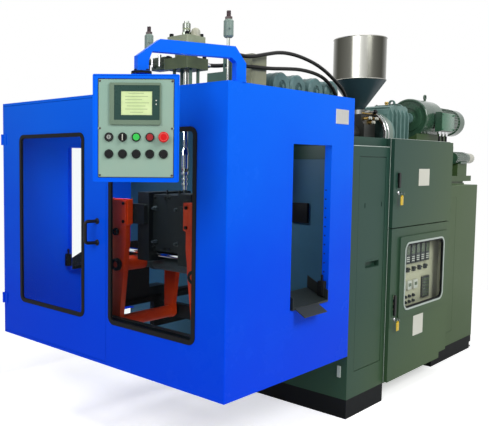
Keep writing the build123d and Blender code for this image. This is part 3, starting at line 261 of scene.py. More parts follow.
hose_rubber = enamel("hose_rubber", (0.004, 0.004, 0.004), (0.008, 0.008, 0.008), 0.36, sheen=0.2)
bright_steel = metal("bright_steel", (0.72, 0.72, 0.73), (0.5, 0.5, 0.5), 0.16)
crimp = [(0.0, 0.0), (0.0125, 0.0), (0.0125, 0.004), (0.0118, 0.006), (0.0125, 0.008),
         (0.0125, 0.026), (0.0118, 0.030), (0.0, 0.030)]
for name, node, length, route in (
    ("upper_air_hose", "upper_hose", 1.70, (
        (0.050, -1.204, 1.862), (0.050, -1.140, 1.862), (0.086, -1.040, 1.846),
        (0.096, -0.910, 1.838), (0.096, -0.777, 1.868), (0.096, -0.626, 1.899),
        (0.096, -0.453, 1.898), (0.096, -0.246, 1.866), (0.096, -0.076, 1.802),
        (0.096, 0.044, 1.741), (0.096, 0.100, 1.640), (0.096, 0.120, 1.486),
        (0.096, 0.120, 1.340),
    )),
    ("lower_air_hose", "lower_hose", 1.61, (
        (0.042, -1.194, 1.776), (0.042, -1.126, 1.776), (0.066, -1.020, 1.792),
        (0.070, -0.880, 1.800), (0.070, -0.700, 1.806), (0.070, -0.560, 1.820),
        (0.070, -0.380, 1.834), (0.070, -0.189, 1.820), (0.070, -0.080, 1.778),
        (0.070, -0.015, 1.728), (0.070, 0.040, 1.634), (0.070, 0.056, 1.486),
        (0.070, 0.056, 1.340),
    )),
):
    line = bpy.data.curves.new(name, "CURVE")
    line.dimensions = "3D"
    line.bevel_depth = 0.010
    line.bevel_resolution = 5
    line.use_fill_caps = True
    run = line.splines.new("NURBS")
    run.points.add(len(route) - 1)
    for point, spot in zip(run.points, route):
        point.co = (*spot, 1)
    run.order_u = 3
    run.use_endpoint_u = True
    line.materials.append(hose_rubber)
    tube = bpy.data.objects.new(name, line)
    bpy.context.scene.collection.objects.link(tube)
    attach(tube, "machine")
    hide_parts(node)
    ends = bmesh.new()
    first, last = Vector(route[0]), Vector(route[-1])
    bar(ends, first + Vector((0, -0.001, 0)), first + Vector((0, 0.012, 0)), 0.016, 6)
    turned(ends, crimp, first + Vector((0, 0.011, 0)), backward, 24)
    bar(ends, last, last + Vector((0, 0, 0.014)), 0.017, 6)
    turned(ends, crimp, last + Vector((0, 0, 0.013)), upward, 24)
    fittings = piece(name + "_fittings", ends, bright_steel, "machine")

# Studio: one pale floor under soft light from the right, from the front and from above,
# with a small lamp under the guard's roof. The ground behind the machine stays white.
floor_mesh = bpy.data.meshes.new("floor")
floor_shape = bmesh.new()
bmesh.ops.create_grid(floor_shape, x_segments=1, y_segments=1, size=30)
floor_shape.to_mesh(floor_mesh)
floor_shape.free()
floor = bpy.data.objects.new("floor", floor_mesh)
bpy.context.scene.collection.objects.link(floor)
floor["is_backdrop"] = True
floor_paint = Finish("studio_floor", (0.95, 0.95, 0.95), 0.9, sheen=0.1)
reach = floor_paint.node(
    "ShaderNodeVectorMath", "Value", {"operation": "LENGTH"}, Vector=floor_paint.place
)
floor_paint.feed("Alpha", 1.0 - floor_paint.step(reach, 2.6, 4.2))
floor_rays = floor_paint.tree.nodes.new("ShaderNodeLightPath")
camera_ray = Wire(floor_paint.tree, floor_rays.outputs["Is Camera Ray"])
floor_paint.feed("Emission Color", camera_ray * 0.5)
floor_paint.shader.inputs["Emission Strength"].default_value = 1.0
floor_mesh.materials.append(floor_paint.material)
studio = bpy.data.worlds.new("studio")
studio.use_nodes = True
sky = studio.node_tree
seen = sky.nodes.new("ShaderNodeLightPath")
shows = Wire(sky, seen.outputs["Is Camera Ray"]) + Wire(sky, seen.outputs["Is Glossy Ray"])
shows = shows + Wire(sky, seen.outputs["Is Transmission Ray"])
shows = shows.join("MINIMUM", shows, 1.0)
sky.nodes["Background"].inputs["Color"].default_value = (1.0, 1.0, 1.0, 1)
sky.links.new((shows * 0.66 + 0.34).socket, sky.nodes["Background"].inputs["Strength"])
bpy.context.scene.world = studio
for spot, aim, size, power in (
    ((4.6, -1.4, 4.2), (0.3, -0.6, 1.3), 2.6, 190),
    ((0.9, -5.4, 3.4), (0.2, -1.0, 1.1), 3.0, 112),
    ((0.0, 0.5, 5.5), (0.0, 0.0, 1.0), 4.0, 70),
    ((-0.2, -1.43, 1.52), (-0.2, -0.75, 0.75), 0.24, 7.5),
):
    lamp_data = bpy.data.lights.new("soft_light", "AREA")
    lamp_data.shape = "DISK"
    lamp_data.size = size
    lamp_data.energy = power
    lamp = bpy.data.objects.new("soft_light", lamp_data)
    bpy.context.scene.collection.objects.link(lamp)
    lamp.location = spot
    lamp.rotation_euler = (Vector(aim) - Vector(spot)).to_track_quat("-Z", "Y").to_euler()
bpy.context.scene.view_settings.view_transform = "Standard"


# Guard: welded sheet steel sprayed with a deep blue gloss enamel, a little dusty and
# lightly orange-peeled, its blue painted darker towards the bottom and lighter towards
# the top as painted light. Each side opening has a riveted jamb and a limit switch, and
# a bare plate is riveted to the right wall.
def paint(material, *names):
    for name in names:
        nodes[name].material_slots[0].material = material


def repeat(shape, line, spots, along, steps):
    """The same turned shape at several spots."""
    for spot in spots:
        turned(shape, line, spot, along, steps)


guard_finish = Finish("guard_blue", (0.001, 0.08, 0.76), 0.26, 0.0, 0.0, 0.03)
height = guard_finish.node("ShaderNodeSeparateXYZ", "Z", None, Vector=guard_finish.place)
cloud = guard_finish.noise(1.6, 6.0)
# Painted light: the blue is darker towards the bottom and lighter towards the top, as light falls
# from above.
rise = guard_finish.step(height + (cloud - 0.5) * 0.8, 0.35, 1.75)
guard_blue_painted_light = guard_finish.tint(rise, (0.0004, 0.048, 0.70), (0.0030, 0.125, 0.82))
guard_finish.feed("Base Color", guard_blue_painted_light)
guard_finish.feed("Roughness", cloud * 0.12 + 0.2)
guard_finish.relief(guard_finish.noise(230.0, 2.0), 0.00010)
guard_blue = guard_finish.material
paint(guard_blue, "guard_shell", "front_door", "operator_arm", "panel_box")
black_paint = enamel("black_paint", (0.004, 0.005, 0.006), (0.008, 0.009, 0.010), 0.5, sheen=0.08)
paint(black_paint, "plinths", "slide_rails")
jamb_rivet = [(0.0, 0.0), (0.0038, 0.0), (0.0032, 0.0014), (0.0018, 0.0024), (0.0, 0.0028)]
for wall, back, word in ((0.484, -0.796, "right"), (-1.087, -1.1235, "left")):
    rivets = bmesh.new()
    spots = [(wall, -0.795, 0.785 + count * 0.044) for count in range(10)]
    repeat(rivets, jamb_rivet, spots, frontward, 10)
    piece("jamb_rivets_" + word, rivets, black_paint, "machine")
    switch = bmesh.new()
    plunger = back - 0.015
    front = back - 0.028
    slab(switch, (wall - 0.017, front, 0.668), (wall + 0.017, back, 0.742), 0.003)
    slab(switch, (wall - 0.010, back - 0.0315, 0.688), (wall + 0.010, front, 0.722), 0.001, 1)
    bar(switch, (wall, plunger, 0.742), (wall, plunger, 0.762), 0.005)
    roller = [(0.0, -0.003), (0.007, -0.003), (0.007, 0.003), (0.0, 0.003)]
    turned(switch, roller, (wall, plunger, 0.766), rightward, 20)
    piece("limit_switch_" + word, switch, black_paint, "machine")
bare_plate = metal("bare_plate", (0.80, 0.80, 0.76), (0.68, 0.68, 0.65), 0.34, (1, 30, 1))
plates = bmesh.new()
slab(plates, (0.5095, -0.766, 1.499), (0.5112, -0.646, 1.569), 0.0006, 1)
plate_rivet = [(0.0, 0.0), (0.003, 0.0), (0.002, 0.0012), (0.0, 0.0016)]
corners = [(0.511, y, z) for y in (-0.759, -0.653) for z in (1.506, 1.562)]
repeat(plates, plate_rivet, corners, rightward, 10)
piece("guard_plate", plates, bare_plate, "machine")

# Back of the clamp space: teal sheets on the front of the base, and beside it a sheet
# across the free left bay down to the floor, held by a row of screws; that sheet stands in
# for the shade behind the guard. A junction box sits on them.
back_teal = enamel("back_teal", (0.030, 0.095, 0.150), (0.022, 0.075, 0.105), 0.42, sheen=0.15)
sheets = bmesh.new()
# Painted shade: this sheet across the free left bay stands in for the shade seen behind the guard
# there.
slab(sheets, (-1.1055, -0.5975, 0.100), (-0.5105, -0.5941, 1.566), 0.001, 1)
slab(sheets, (-0.360, -0.5925, 0.480), (-0.060, -0.5899, 1.330), 0.001, 1)
slab(sheets, (0.060, -0.5925, 0.480), (0.360, -0.5899, 1.330), 0.001, 1)
slab(sheets, (0.415, -0.5925, 0.330), (0.505, -0.5899, 1.330), 0.001, 1)
sheet_screw = [(0.0, 0.0), (0.006, 0.0), (0.005, 0.003), (0.0, 0.004)]
spots = [(x, -0.5974, 1.540) for x in (-1.060, -0.960, -0.860, -0.760, -0.660, -0.560)]
spots += [(x, -0.5924, z) for x in (-0.350, -0.070, 0.070, 0.350) for z in (0.490, 1.320)]
repeat(sheets, sheet_screw, spots, frontward, 12)
piece("back_sheets", sheets, back_teal, "machine")
box = bmesh.new()
slab(box, (0.169, -0.6120, 0.994), (0.268, -0.5920, 1.100), 0.003)
piece("junction_box", box, black_paint, "machine")

# Windows: clear polycarbonate panes held in black rubber profile. A pane lets through
# what is behind it, with a faint glare that grows as it is seen edge on.
rubber = enamel("black_rubber", (0.005, 0.006, 0.007), (0.009, 0.009, 0.010), 0.5, sheen=0.1)
paint(rubber, "window_gasket", "door_gasket")
pane_finish = Finish("clear_pane", (0.9, 0.95, 1.0), 0.02)
glass_mix = pane_finish.tree.nodes.new("ShaderNodeMixShader")
clear = pane_finish.tree.nodes.new("ShaderNodeBsdfTransparent")
clear.inputs["Color"].default_value = (0.96, 0.98, 0.98, 1)
facing = pane_finish.node("ShaderNodeLayerWeight", "Facing", None, Blend=0.5)
glare = facing * facing
pane_output = pane_finish.tree.nodes["Material Output"]
for start, end in (
    ((glare * glare * 0.10).socket, glass_mix.inputs[0]), (clear.outputs[0], glass_mix.inputs[1]),
    (pane_finish.shader.outputs[0], glass_mix.inputs[2]),
    (glass_mix.outputs[0], pane_output.inputs[0]),
):
    pane_finish.tree.links.new(start, end)
paint(pane_finish.material, "window_pane", "door_pane", "cabinet_window")

# Front door: its bow handle is black plastic on two round feet. The same plastic makes
# the cabinet locks, the selector and the black buttons.
black_plastic = enamel("black_plastic", (0.003, 0.003, 0.004), (0.006, 0.006, 0.006), 0.36,
                       sheen=0.2)
paint(black_plastic, "door_handle", "upper_lock", "lower_lock", "selector_switch",
      "black_button_1", "black_button_2", "black_button_3", "black_button_4", "black_button_5")
feet = bmesh.new()
foot = [(0.0, 0.0), (0.015, 0.0), (0.014, 0.004), (0.010, 0.007), (0.0, 0.007)]
repeat(feet, foot, [(-0.286, -1.580, z) for z in (0.920, 1.024)], frontward, 28)
piece("handle_feet", feet, black_plastic, "front_door")

# Exit chutes: dark enamelled sheet under the openings of both side walls, a little
# glossy where bottles slide over it.
chute_sheet = enamel("chute_sheet", (0.014, 0.021, 0.020), (0.009, 0.013, 0.013), 0.36, sheen=0.3)
paint(chute_sheet, "exit_chutes")

# Sheet base and cabinets: dark grey-green enamel with painted light, lighter towards the
# back and the bottom, and thin pale strips along the folded edges at the top and down one
# corner as painted highlights, and a small lug on the base's front.
cabinet_finish = Finish("cabinet_grey", (0.05, 0.08, 0.05), 0.36, sheen=0.12)
along = cabinet_finish.node("ShaderNodeSeparateXYZ", "Y", None, Vector=cabinet_finish.place)
height = cabinet_finish.node("ShaderNodeSeparateXYZ", "Z", None, Vector=cabinet_finish.place)
cloud = cabinet_finish.noise(1.4, 6.0)
# Painted light: the grey-green turns lighter towards the back and towards the bottom, where more
# light falls.
painted_light_fade = cabinet_finish.step(along - height * 0.6 + (cloud - 0.5) * 0.6, -1.10, 0.40)
cabinet_paint_with_light = cabinet_finish.tint(painted_light_fade, (0.018, 0.054, 0.040), (0.050, 0.092, 0.032))
cabinet_finish.feed("Base Color", cabinet_paint_with_light)
cabinet_finish.feed("Roughness", cloud * 0.12 + 0.30)
cabinet_finish.relief(cabinet_finish.noise(230.0, 2.0), 0.0001)
paint(cabinet_finish.material, "base_frame", "base_door", "cabinet", "cabinet_upper_door",
      "cabinet_lower_door", "rear_base")
bracket_grey = enamel("bracket_grey", (0.085, 0.150, 0.115), (0.055, 0.110, 0.090), 0.36, sheen=0.2)
paint(bracket_grey, "blow_bracket")
# Painted highlight: thin pale strips on the folded edges stand for the light they catch; the same
# pale paint serves the lug and the window rim.
folded_edge = enamel("folded_edge", (0.42, 0.48, 0.44), (0.34, 0.40, 0.36), 0.3)
edges = bmesh.new()
slab(edges, (0.507, -0.588, 1.3975), (0.5112, -0.200, 1.4012), 0.0009, 1)
slab(edges, (0.5118, -0.194, 1.4455), (0.5152, 0.610, 1.4480), 0.0008, 1)
slab(edges, (0.160, -0.1952, 1.4455), (0.514, -0.1925, 1.4480), 0.0008, 1)
slab(edges, (0.5135, -0.1955, 0.105), (0.5152, -0.1932, 1.4455), 0.0006, 1)
piece("folded_edges", edges, folded_edge, "machine")
lug = bmesh.new()
slab(lug, (0.458, -0.598, 0.213), (0.477, -0.590, 0.272), 0.001, 1)
piece("base_lug", lug, folded_edge, "machine")

# Cabinet doors: key locks with a chrome barrel, each key on a yellow tag, and two bare
# plates held by rivets.
def ring(inner, outer, low, high):
    """The closed line of a square-edged ring, for turned()."""
    return [(inner, low), (outer, low), (outer, high), (inner, high), (inner, low)]


chrome = metal("chrome", (0.78, 0.78, 0.79), (0.66, 0.66, 0.67), 0.08)
tag_yellow = enamel("tag_yellow", (0.62, 0.42, 0.02), (0.50, 0.33, 0.02), 0.3)
lock_y = -0.133
lock_cap = [(0.0, 0.0), (0.0105, 0.0), (0.0105, 0.005), (0.009, 0.0065), (0.0, 0.0065)]
for word, lock_z, tag_low in (("upper", 1.151, 1.086), ("lower", 0.452, 0.392)):
    barrel = bmesh.new()
    turned(barrel, lock_cap, (0.534, lock_y, lock_z), rightward, 28)
    slab(barrel, (0.5400, -0.1342, lock_z - 0.006), (0.556, -0.1318, lock_z + 0.006), 0.0008, 1)
    key_ring = ring(0.006, 0.0098, -0.001, 0.001)
    turned(barrel, key_ring, (0.560, lock_y, lock_z - 0.004), backward, 20)
    piece(word + "_lock_barrel", barrel, chrome, word + "_door")
    tag = bmesh.new()
    slab(tag, (0.5560, -0.1480, tag_low), (0.5595, -0.1180, tag_low + 0.046), 0.0012)
    bar(tag, (0.5578, lock_y, tag_low + 0.044), (0.5578, lock_y, tag_low + 0.053), 0.006)
    piece(word + "_key_tag", tag, tag_yellow, word + "_door")
cream = enamel("cream_plate", (0.60, 0.60, 0.52), (0.52, 0.52, 0.45), 0.36)
for word, low_y, low_z, high_y, high_z in (
    ("upper", 0.124, 1.185, 0.267, 1.282), ("lower", 0.117, 0.313, 0.250, 0.431),
):
    blank = bmesh.new()
    slab(blank, (0.5338, low_y, low_z), (0.5352, high_y, high_z), 0.0005, 1)
    inset = 0.008
    corners = [(0.535, y, z) for y in (low_y + inset, high_y - inset)
               for z in (low_z + inset, high_z - inset)]
    repeat(blank, plate_rivet, corners, rightward, 10)
    piece(word + "_door_plate", blank, cream, word + "_door")


# Window of the lower door: a raised frame with a bright rolled rim, and a dark seal that
# holds the pane.
def rounded_ring(shape, width, height, corner, rim, depth):
    """A flat ring with rounded corners round the origin, standing on z = 0."""
    spots = [shape.verts.new((side * width / 2, rise * height / 2, 0))
             for side, rise in ((-1, -1), (1, -1), (1, 1), (-1, 1))]
    shape.faces.new(spots)
    bmesh.ops.bevel(
        shape, geom=spots, offset=corner, offset_type="OFFSET", affect="VERTICES", segments=7,
        profile=0.5, material=-1,
    )
    plate = max(shape.faces, key=lambda face: len(face.verts))
    band = bmesh.ops.inset_region(
        shape, faces=[plate], thickness=rim, use_even_offset=True, use_boundary=True
    )["faces"]
    bmesh.ops.delete(shape, geom=[plate], context="FACES_ONLY")
    raised = bmesh.ops.extrude_face_region(shape, geom=band, use_keep_orig=True)["geom"]
    lifted = [part for part in raised if isinstance(part, bmesh.types.BMVert)]
    bmesh.ops.translate(shape, vec=(0, 0, depth), verts=lifted)


door_glass = Matrix(((0, 0, 1, 0.5435), (1, 0, 0, 0.230), (0, 1, 0, 0.6785), (0, 0, 0, 1)))
rim_shape = bmesh.new()
rounded_ring(rim_shape, 0.540, 0.387, 0.050, 0.010, 0.0035)
piece("window_rim", rim_shape, folded_edge, "lower_door", door_glass)
seal_shape = bmesh.new()
rounded_ring(seal_shape, 0.5205, 0.3675, 0.042, 0.009, 0.010)
seal_place = Matrix.Translation((-0.0105, 0, 0)) @ door_glass
piece("window_seal", seal_shape, rubber, "lower_door", seal_place)

# Instruments behind that window, on a pale plate: six controllers, five switches, pale
# modules, a dark drive and a row of knobs.
mount_plate = enamel("mount_plate", (0.55, 0.53, 0.36), (0.48, 0.46, 0.31), 0.5)
paint(mount_plate, "instrument_panel")
face_x = 0.475
dark_case = enamel("dark_case", (0.014, 0.018, 0.016), (0.022, 0.026, 0.022), 0.4)
display = enamel("display_green", (0.10, 0.13, 0.07), (0.07, 0.09, 0.05), 0.25)
cases = bmesh.new()
screens = bmesh.new()
pale = bmesh.new()


def module(shape, y, half, low, high, start, reach, edge, cuts=1):
    """A block on the plate, between two heights and two distances from it."""
    slab(shape, (face_x + start, y - half, low), (face_x + reach, y + half, high), edge, cuts)


for step in range(6):
    y = 0.215 + (step - 2.5) * 0.066
    module(cases, y, 0.0285, 0.7285, 0.8475, 0.0, 0.0192, 0.002, 2)
    module(screens, y, 0.020, 0.786, 0.838, 0.0188, 0.0200, 0.0004)
    for line in range(3):
        low, high = 0.742 + line * 0.012, 0.7475 + line * 0.012
        module(pale, y, 0.018, low, high, 0.0188, 0.0199, 0.0003)
for step in range(5):
    y = 0.215 + (step - 2) * 0.080
    module(cases, y, 0.012, 0.678, 0.706, 0.0, 0.0172, 0.002, 2)
    bar(cases, (face_x + 0.016, y, 0.694), (face_x + 0.026, y, 0.700), 0.003, 12)
for step in range(4):
    y = 0.120 + (step - 1.5) * 0.080
    module(pale, y, 0.0265, 0.5735, 0.6265, 0.0, 0.0150, 0.003, 2)
    module(screens, y, 0.018, 0.592, 0.612, 0.0146, 0.0156, 0.0004)
slab(cases, (face_x, 0.3365, 0.5005), (face_x + 0.0152, 0.4335, 0.6315), 0.003)
for line in range(6):
    low, high = 0.512 + line * 0.019, 0.522 + line * 0.019
    slab(screens, (face_x + 0.015, 0.344, low), (face_x + 0.0160, 0.426, high), 0.0004, 1)
knob = [(0.0, 0.0), (0.010, 0.0), (0.009, 0.010), (0.006, 0.015), (0.0, 0.015)]
knob_spots = [(face_x, 0.100 + (step - 2.5) * 0.052, z) for z in (0.532, 0.500)
              for step in range(6)]
repeat(cases, knob, knob_spots, rightward, 16)
piece("instrument_cases", cases, dark_case, "machine")
piece("instrument_screens", screens, display, "machine")
piece("instrument_modules", pale, cream, "machine")

# Rear cabinet and skid: a black plug closes a hole in the cabinet's side, and a levelling
# bolt with a foot and a threaded end stands in the skid's lug.
plug = bmesh.new()
plug_line = [(0.0, 0.0), (0.0125, 0.0), (0.0125, 0.006), (0.0095, 0.013), (0.0, 0.013)]
turned(plug, plug_line, (0.450, 0.665, 0.766), rightward, 20)
piece("cabinet_plug", plug, black_plastic, "machine")
bolt = bmesh.new()
bar(bolt, (0.412, 1.320, 0.112), (0.412, 1.320, 0.126), 0.0165, 6)
foot = [(0.0, 0.0), (0.0225, 0.0), (0.0225, 0.006), (0.012, 0.011), (0.0, 0.011)]
turned(bolt, foot, (0.412, 1.320, 0.0), upward, 24)
thread = [(0.0, 0.0), (0.0100, 0.0), (0.0110, 0.001), (0.0100, 0.002), (0.0, 0.002)]
repeat(bolt, thread, [(0.412, 1.320, 0.115 + step * 0.002) for step in range(7)], upward, 16)
piece("levelling_bolt", bolt, bright_steel, "machine")

# Clamp: levers in orange-red enamel, charcoal moulds, platens and carriage, chrome tie
# bars. Bolts, taps and ports follow the levers, the platens and the cylinder.
clamp_y = -1.27
clamp_red = enamel("clamp_red", (0.52, 0.040, 0.004), (0.34, 0.018, 0.004), 0.33, 0.00015,
                   patch=5.0, sheen=0.2)
paint(clamp_red, "lever_left", "lever_right")
charcoal = enamel("mould_charcoal", (0.004, 0.006, 0.007), (0.008, 0.011, 0.012), 0.4, sheen=0.12)
paint(charcoal, "mould_left", "mould_right", "platen_left", "platen_right", "carriage")
paint(chrome, "tie_bars", "clamp_rod", "screw")
rod_steel = metal("rod_steel", (0.40, 0.42, 0.39), (0.30, 0.32, 0.30), 0.14, edge=0.12)
paint(rod_steel, "blow_pin", "key_switch")
cast_grey = enamel("cast_grey", (0.030, 0.042, 0.047), (0.022, 0.030, 0.035), 0.4, 0.0003,
                   patch=8.0)
paint(cast_grey, "clamp_cylinder", "shuttle_cylinder")
gear_grey = enamel("gear_grey", (0.130, 0.235, 0.215), (0.085, 0.165, 0.150), 0.38, 0.0003,
                   patch=8.0)
paint(gear_grey, "gearbox")
brass = metal("brass", (0.62, 0.43, 0.14), (0.46, 0.30, 0.09), 0.25)


def cap_screw(radius, height):
    """The line of a socket-headed screw's head, for turned()."""
    line = ((0.0, 0.0), (1.0, 0.0), (1.0, 0.72), (0.88, 0.84), (0.60, 0.84), (0.52, 0.50),
            (0.0, 0.50))
    return [(across * radius, up * height) for across, up in line]


eye_bolt = [(0.0, 0.0), (0.006, 0.0), (0.005, 0.018), (0.003, 0.022), (0.0, 0.022)]
lever_screw = [(0.0, 0.0), (0.008, 0.0), (0.008, 0.006), (0.005, 0.007), (0.0, 0.004)]
for hand, word in ((-1, "left"), (1, "right")):
    caps = bmesh.new()
    for x, z, radius, rim, crown in (
        (0.253, 0.807, 0.0308, 0.0165, 0.0185), (0.262, 0.968, 0.0178, 0.0125, 0.0145),
    ):
        line = [(0.0, 0.0), (radius, -0.002), (radius, rim), (radius * 0.9, crown),
                (radius * 0.5, crown), (radius * 0.45, 0.012), (0.0, 0.012)]
        turned(caps, line, (hand * x, -1.475, z), frontward, 32)
    spots = [(hand * x, -1.4832, z) for x in (0.204, 0.300) for z in (1.022, 1.110)]
    repeat(caps, lever_screw, spots, frontward, 16)
    piece("lever_bolts_" + word, caps, black_paint, word + "_lever")
    heads = bmesh.new()
    spots = [(hand * x, -1.390, z) for x in (0.014, 0.082) for z in (0.899, 1.141)]
    repeat(heads, cap_screw(0.007, 0.007), spots, frontward, 16)
    spots = [(hand * 0.040, -1.350, 1.155), (hand * 0.070, -1.200, 1.155)]
    repeat(heads, eye_bolt, spots, upward, 16)
    piece("mould_screws_" + word, heads, black_paint, word + "_platen")
    taps = bmesh.new()
    tap_x = hand * 0.072
    for z in (0.930, 1.090):
        bar(taps, (tap_x, -1.404, z), (tap_x, -1.388, z), 0.0105, 6)
        bar(taps, (tap_x, -1.420, z), (tap_x, -1.403, z), 0.006, 16, 0.0075)
    piece("water_taps_" + word, taps, cast_grey, word + "_platen")
ports = bmesh.new()
for x in (-0.200, 0.048):
    bar(ports, (x, clamp_y, 0.840), (x, clamp_y, 0.849), 0.013, 6)
    bar(ports, (x, clamp_y, 0.848), (x, clamp_y, 0.855), 0.008, 16)
    port_cap = [(0.0, 0.0), (0.0095, 0.0), (0.0095, 0.004), (0.0, 0.006)]
    turned(ports, port_cap, (x, clamp_y, 0.854), upward, 18)
piece("cylinder_ports", ports, bright_steel, "clamp_cylinder")

# Blow unit: khaki cylinder blocks with black cap screws, a grey gland, a pale dome and
# a valve block with its pipes on the left; the guide rods carry grey-green stop collars.
khaki = enamel("cast_khaki", (0.24, 0.25, 0.165), (0.155, 0.165, 0.110), 0.42, 0.0002, patch=9.0)
paint(khaki, "die_head")
blow_finish = Finish("blow_khaki", (0.2, 0.2, 0.1), 0.4, sheen=0.25)
height = blow_finish.node("ShaderNodeSeparateXYZ", "Z", None, Vector=blow_finish.place)
cloud = blow_finish.step(blow_finish.noise(9.0, 6.0), 0.35, 0.7)
lower = blow_finish.tint(cloud, (0.075, 0.100, 0.048), (0.045, 0.065, 0.032))
upper = blow_finish.tint(cloud, (0.30, 0.34, 0.22), (0.21, 0.24, 0.16))
blow_paint = blow_finish.tint(blow_finish.step(height, 1.800, 1.836), lower, upper)
blow_finish.feed("Base Color", blow_paint)
blow_finish.relief(blow_finish.noise(230.0, 2.0), 0.0002)
paint(blow_finish.material, "blow_cylinder")
caps = bmesh.new()
for x in (-1, 1):
    for y in (-1, 1):
        turned(caps, cap_screw(0.0104, 0.0185), (x * 0.050, clamp_y + y * 0.050, 1.9), upward, 24)
        turned(caps, cap_screw(0.0094, 0.0175), (x * 0.061, clamp_y + y * 0.061, 1.798), upward, 24)
piece("cylinder_screws", caps, black_paint, "machine")
gland = bmesh.new()
bar(gland, (0, clamp_y, 1.900), (0, clamp_y, 1.9225), 0.0224, 6)
gland_line = [
    (0.0130, 0.0), (0.0195, 0.0), (0.0195, 0.012), (0.0175, 0.014), (0.0175, 0.018),
    (0.0195, 0.020), (0.0195, 0.040), (0.0170, 0.0435), (0.0130, 0.0435), (0.0130, 0.0),
]
turned(gland, gland_line, (0, clamp_y, 1.922), upward, 40)
gland_grey = metal("gland_grey", (0.33, 0.36, 0.32), (0.12, 0.14, 0.12), 0.2, (60, 60, 1))
piece("gland_nut", gland, gland_grey, "machine")
dome = bmesh.new()
dome_radius = 0.0225
dome_line = [(0.0, 0.0), (dome_radius, 0.0)]
for angle in range(0, 90, 10):
    tilt = math.radians(angle)
    dome_line.append((dome_radius * math.cos(tilt), 0.0205 + dome_radius * math.sin(tilt)))
dome_line.append((0.0, 0.043))
turned(dome, dome_line, (0.040, -1.25, 1.9), upward, 40)
pale_cast = enamel("pale_cast", (0.42, 0.42, 0.33), (0.33, 0.33, 0.25), 0.36)
piece("cushion_dome", dome, pale_cast, "machine")
collar_green = enamel("collar_green", (0.19, 0.26, 0.22), (0.13, 0.18, 0.16), 0.36, sheen=0.3)
collars = bmesh.new()
tips = bmesh.new()
collar = [(0.0080, 0.0), (0.0165, 0.0), (0.0225, 0.0070), (0.0225, 0.0730), (0.0165, 0.0802),
          (0.0080, 0.0802), (0.0080, 0.0)]
thread = [(0.0, 0.0)] + [(0.0102 if step % 2 else 0.0093, 0.0012 * step) for step in range(23)]
thread += [(0.0080, 0.0283), (0.0, 0.0283)]
for x in (-0.254, 0.254):
    turned(collars, collar, (x, clamp_y, 1.8668), upward, 36)
    bar(collars, (x + 0.0200, -1.285, 1.905), (x + 0.0252, -1.289, 1.905), 0.004, 12)
    bar(tips, (x, clamp_y, 1.9465), (x, clamp_y, 1.9588), 0.0166, 6)
    turned(tips, thread, (x, clamp_y, 1.9575), upward, 20)
piece("stop_collars", collars, collar_green, "blow_pin")
dark_steel = enamel("dark_steel", (0.085, 0.060, 0.060), (0.05, 0.04, 0.045), 0.35)
piece("collar_nuts", tips, dark_steel, "blow_pin")
valve = bmesh.new()
slab(valve, (-0.206, -1.300, 1.758), (-0.076, -1.238, 1.796), 0.003)
slab(valve, (-0.196, -1.292, 1.796), (-0.120, -1.250, 1.822), 0.003)
bar(valve, (-0.240, -1.271, 1.809), (-0.100, -1.271, 1.809), 0.013, 20)
bar(valve, (-0.252, -1.271, 1.809), (-0.238, -1.271, 1.809), 0.016, 6)
bar(valve, (-0.180, -1.306, 1.777), (-0.180, -1.296, 1.777), 0.010, 6)
bar(valve, (-0.130, -1.306, 1.777), (-0.130, -1.296, 1.777), 0.010, 6)
valve_teal = enamel("valve_teal", (0.045, 0.065, 0.040), (0.028, 0.042, 0.030), 0.35)
piece("valve_block", valve, valve_teal, "machine")
pipes = bmesh.new()
pipe_y, pipe_z = -1.3185, 1.777
pipe_cap = [(0.0, 0.0), (0.009, 0.0), (0.009, 0.008), (0.0, 0.010)]
for x, rise in ((-0.180, 0.030), (-0.130, 0.042)):
    bar(pipes, (x, -1.322, pipe_z), (x, -1.304, pipe_z), 0.0062, 14)
    bar(pipes, (x, pipe_y, 1.772), (x, pipe_y, pipe_z + rise), 0.0062, 14)
    turned(pipes, pipe_cap, (x, pipe_y, pipe_z + rise), upward, 16)
piece("valve_pipes", pipes, bright_steel, "machine")

# Extruder barrel: clamped heater bands with a terminal cover each, and four round
# cooling blowers, each with an inlet grille and a small motor cap.
barrel_steel = enamel("barrel_steel", (0.022, 0.024, 0.021), (0.014, 0.015, 0.014), 0.4, sheen=0.3)
paint(barrel_steel, "barrel")
blower_green = enamel("blower_green", (0.100, 0.190, 0.190), (0.062, 0.125, 0.125), 0.36, 0.0002,
                      patch=9.0)
paint(blower_green, "barrel_blowers")
covers = bmesh.new()
for y in (-0.610, -0.440, -0.270, -0.030, 0.150):
    slab(covers, (0.050, y - 0.020, 1.488), (0.076, y + 0.020, 1.522), 0.003)
    for side in (-1, 1):
        bar(covers, (0.061, y + side * 0.012, 1.478), (0.061, y + side * 0.012, 1.489), 0.004, 10)
piece("heater_covers", covers, pale_cast, "machine")
grilles = bmesh.new()
seams = bmesh.new()
blower_z = 1.728
motor_cap = [(0.0, 0.0), (0.011, 0.0), (0.010, 0.010), (0.0, 0.012)]
seam = [(0.0752, -0.003), (0.0775, -0.002), (0.0775, 0.002), (0.0752, 0.003), (0.0752, -0.003)]
for y in (-0.550, -0.391, -0.205, -0.030):
    for radius in (0.012, 0.019, 0.026, 0.033):
        wire_ring = ring(radius - 0.0016, radius, 0.0, 0.003)
        turned(grilles, wire_ring, (0.0520, y, blower_z), rightward, 28)
    for angle in range(0, 360, 60):
        tilt = math.radians(angle)
        spoke = [(0.0535, y + reach * math.cos(tilt), blower_z + reach * math.sin(tilt))
                 for reach in (0.010, 0.034)]
        bar(grilles, *spoke, 0.0012, 8)
    turned(grilles, motor_cap, (0.050, y, blower_z), rightward, 24)
    repeat(seams, seam, [(x, y, blower_z) for x in (-0.022, 0.022)], rightward, 48)
piece("blower_grilles", grilles, blower_green, "machine")
piece("blower_seams", seams, blower_green, "machine")
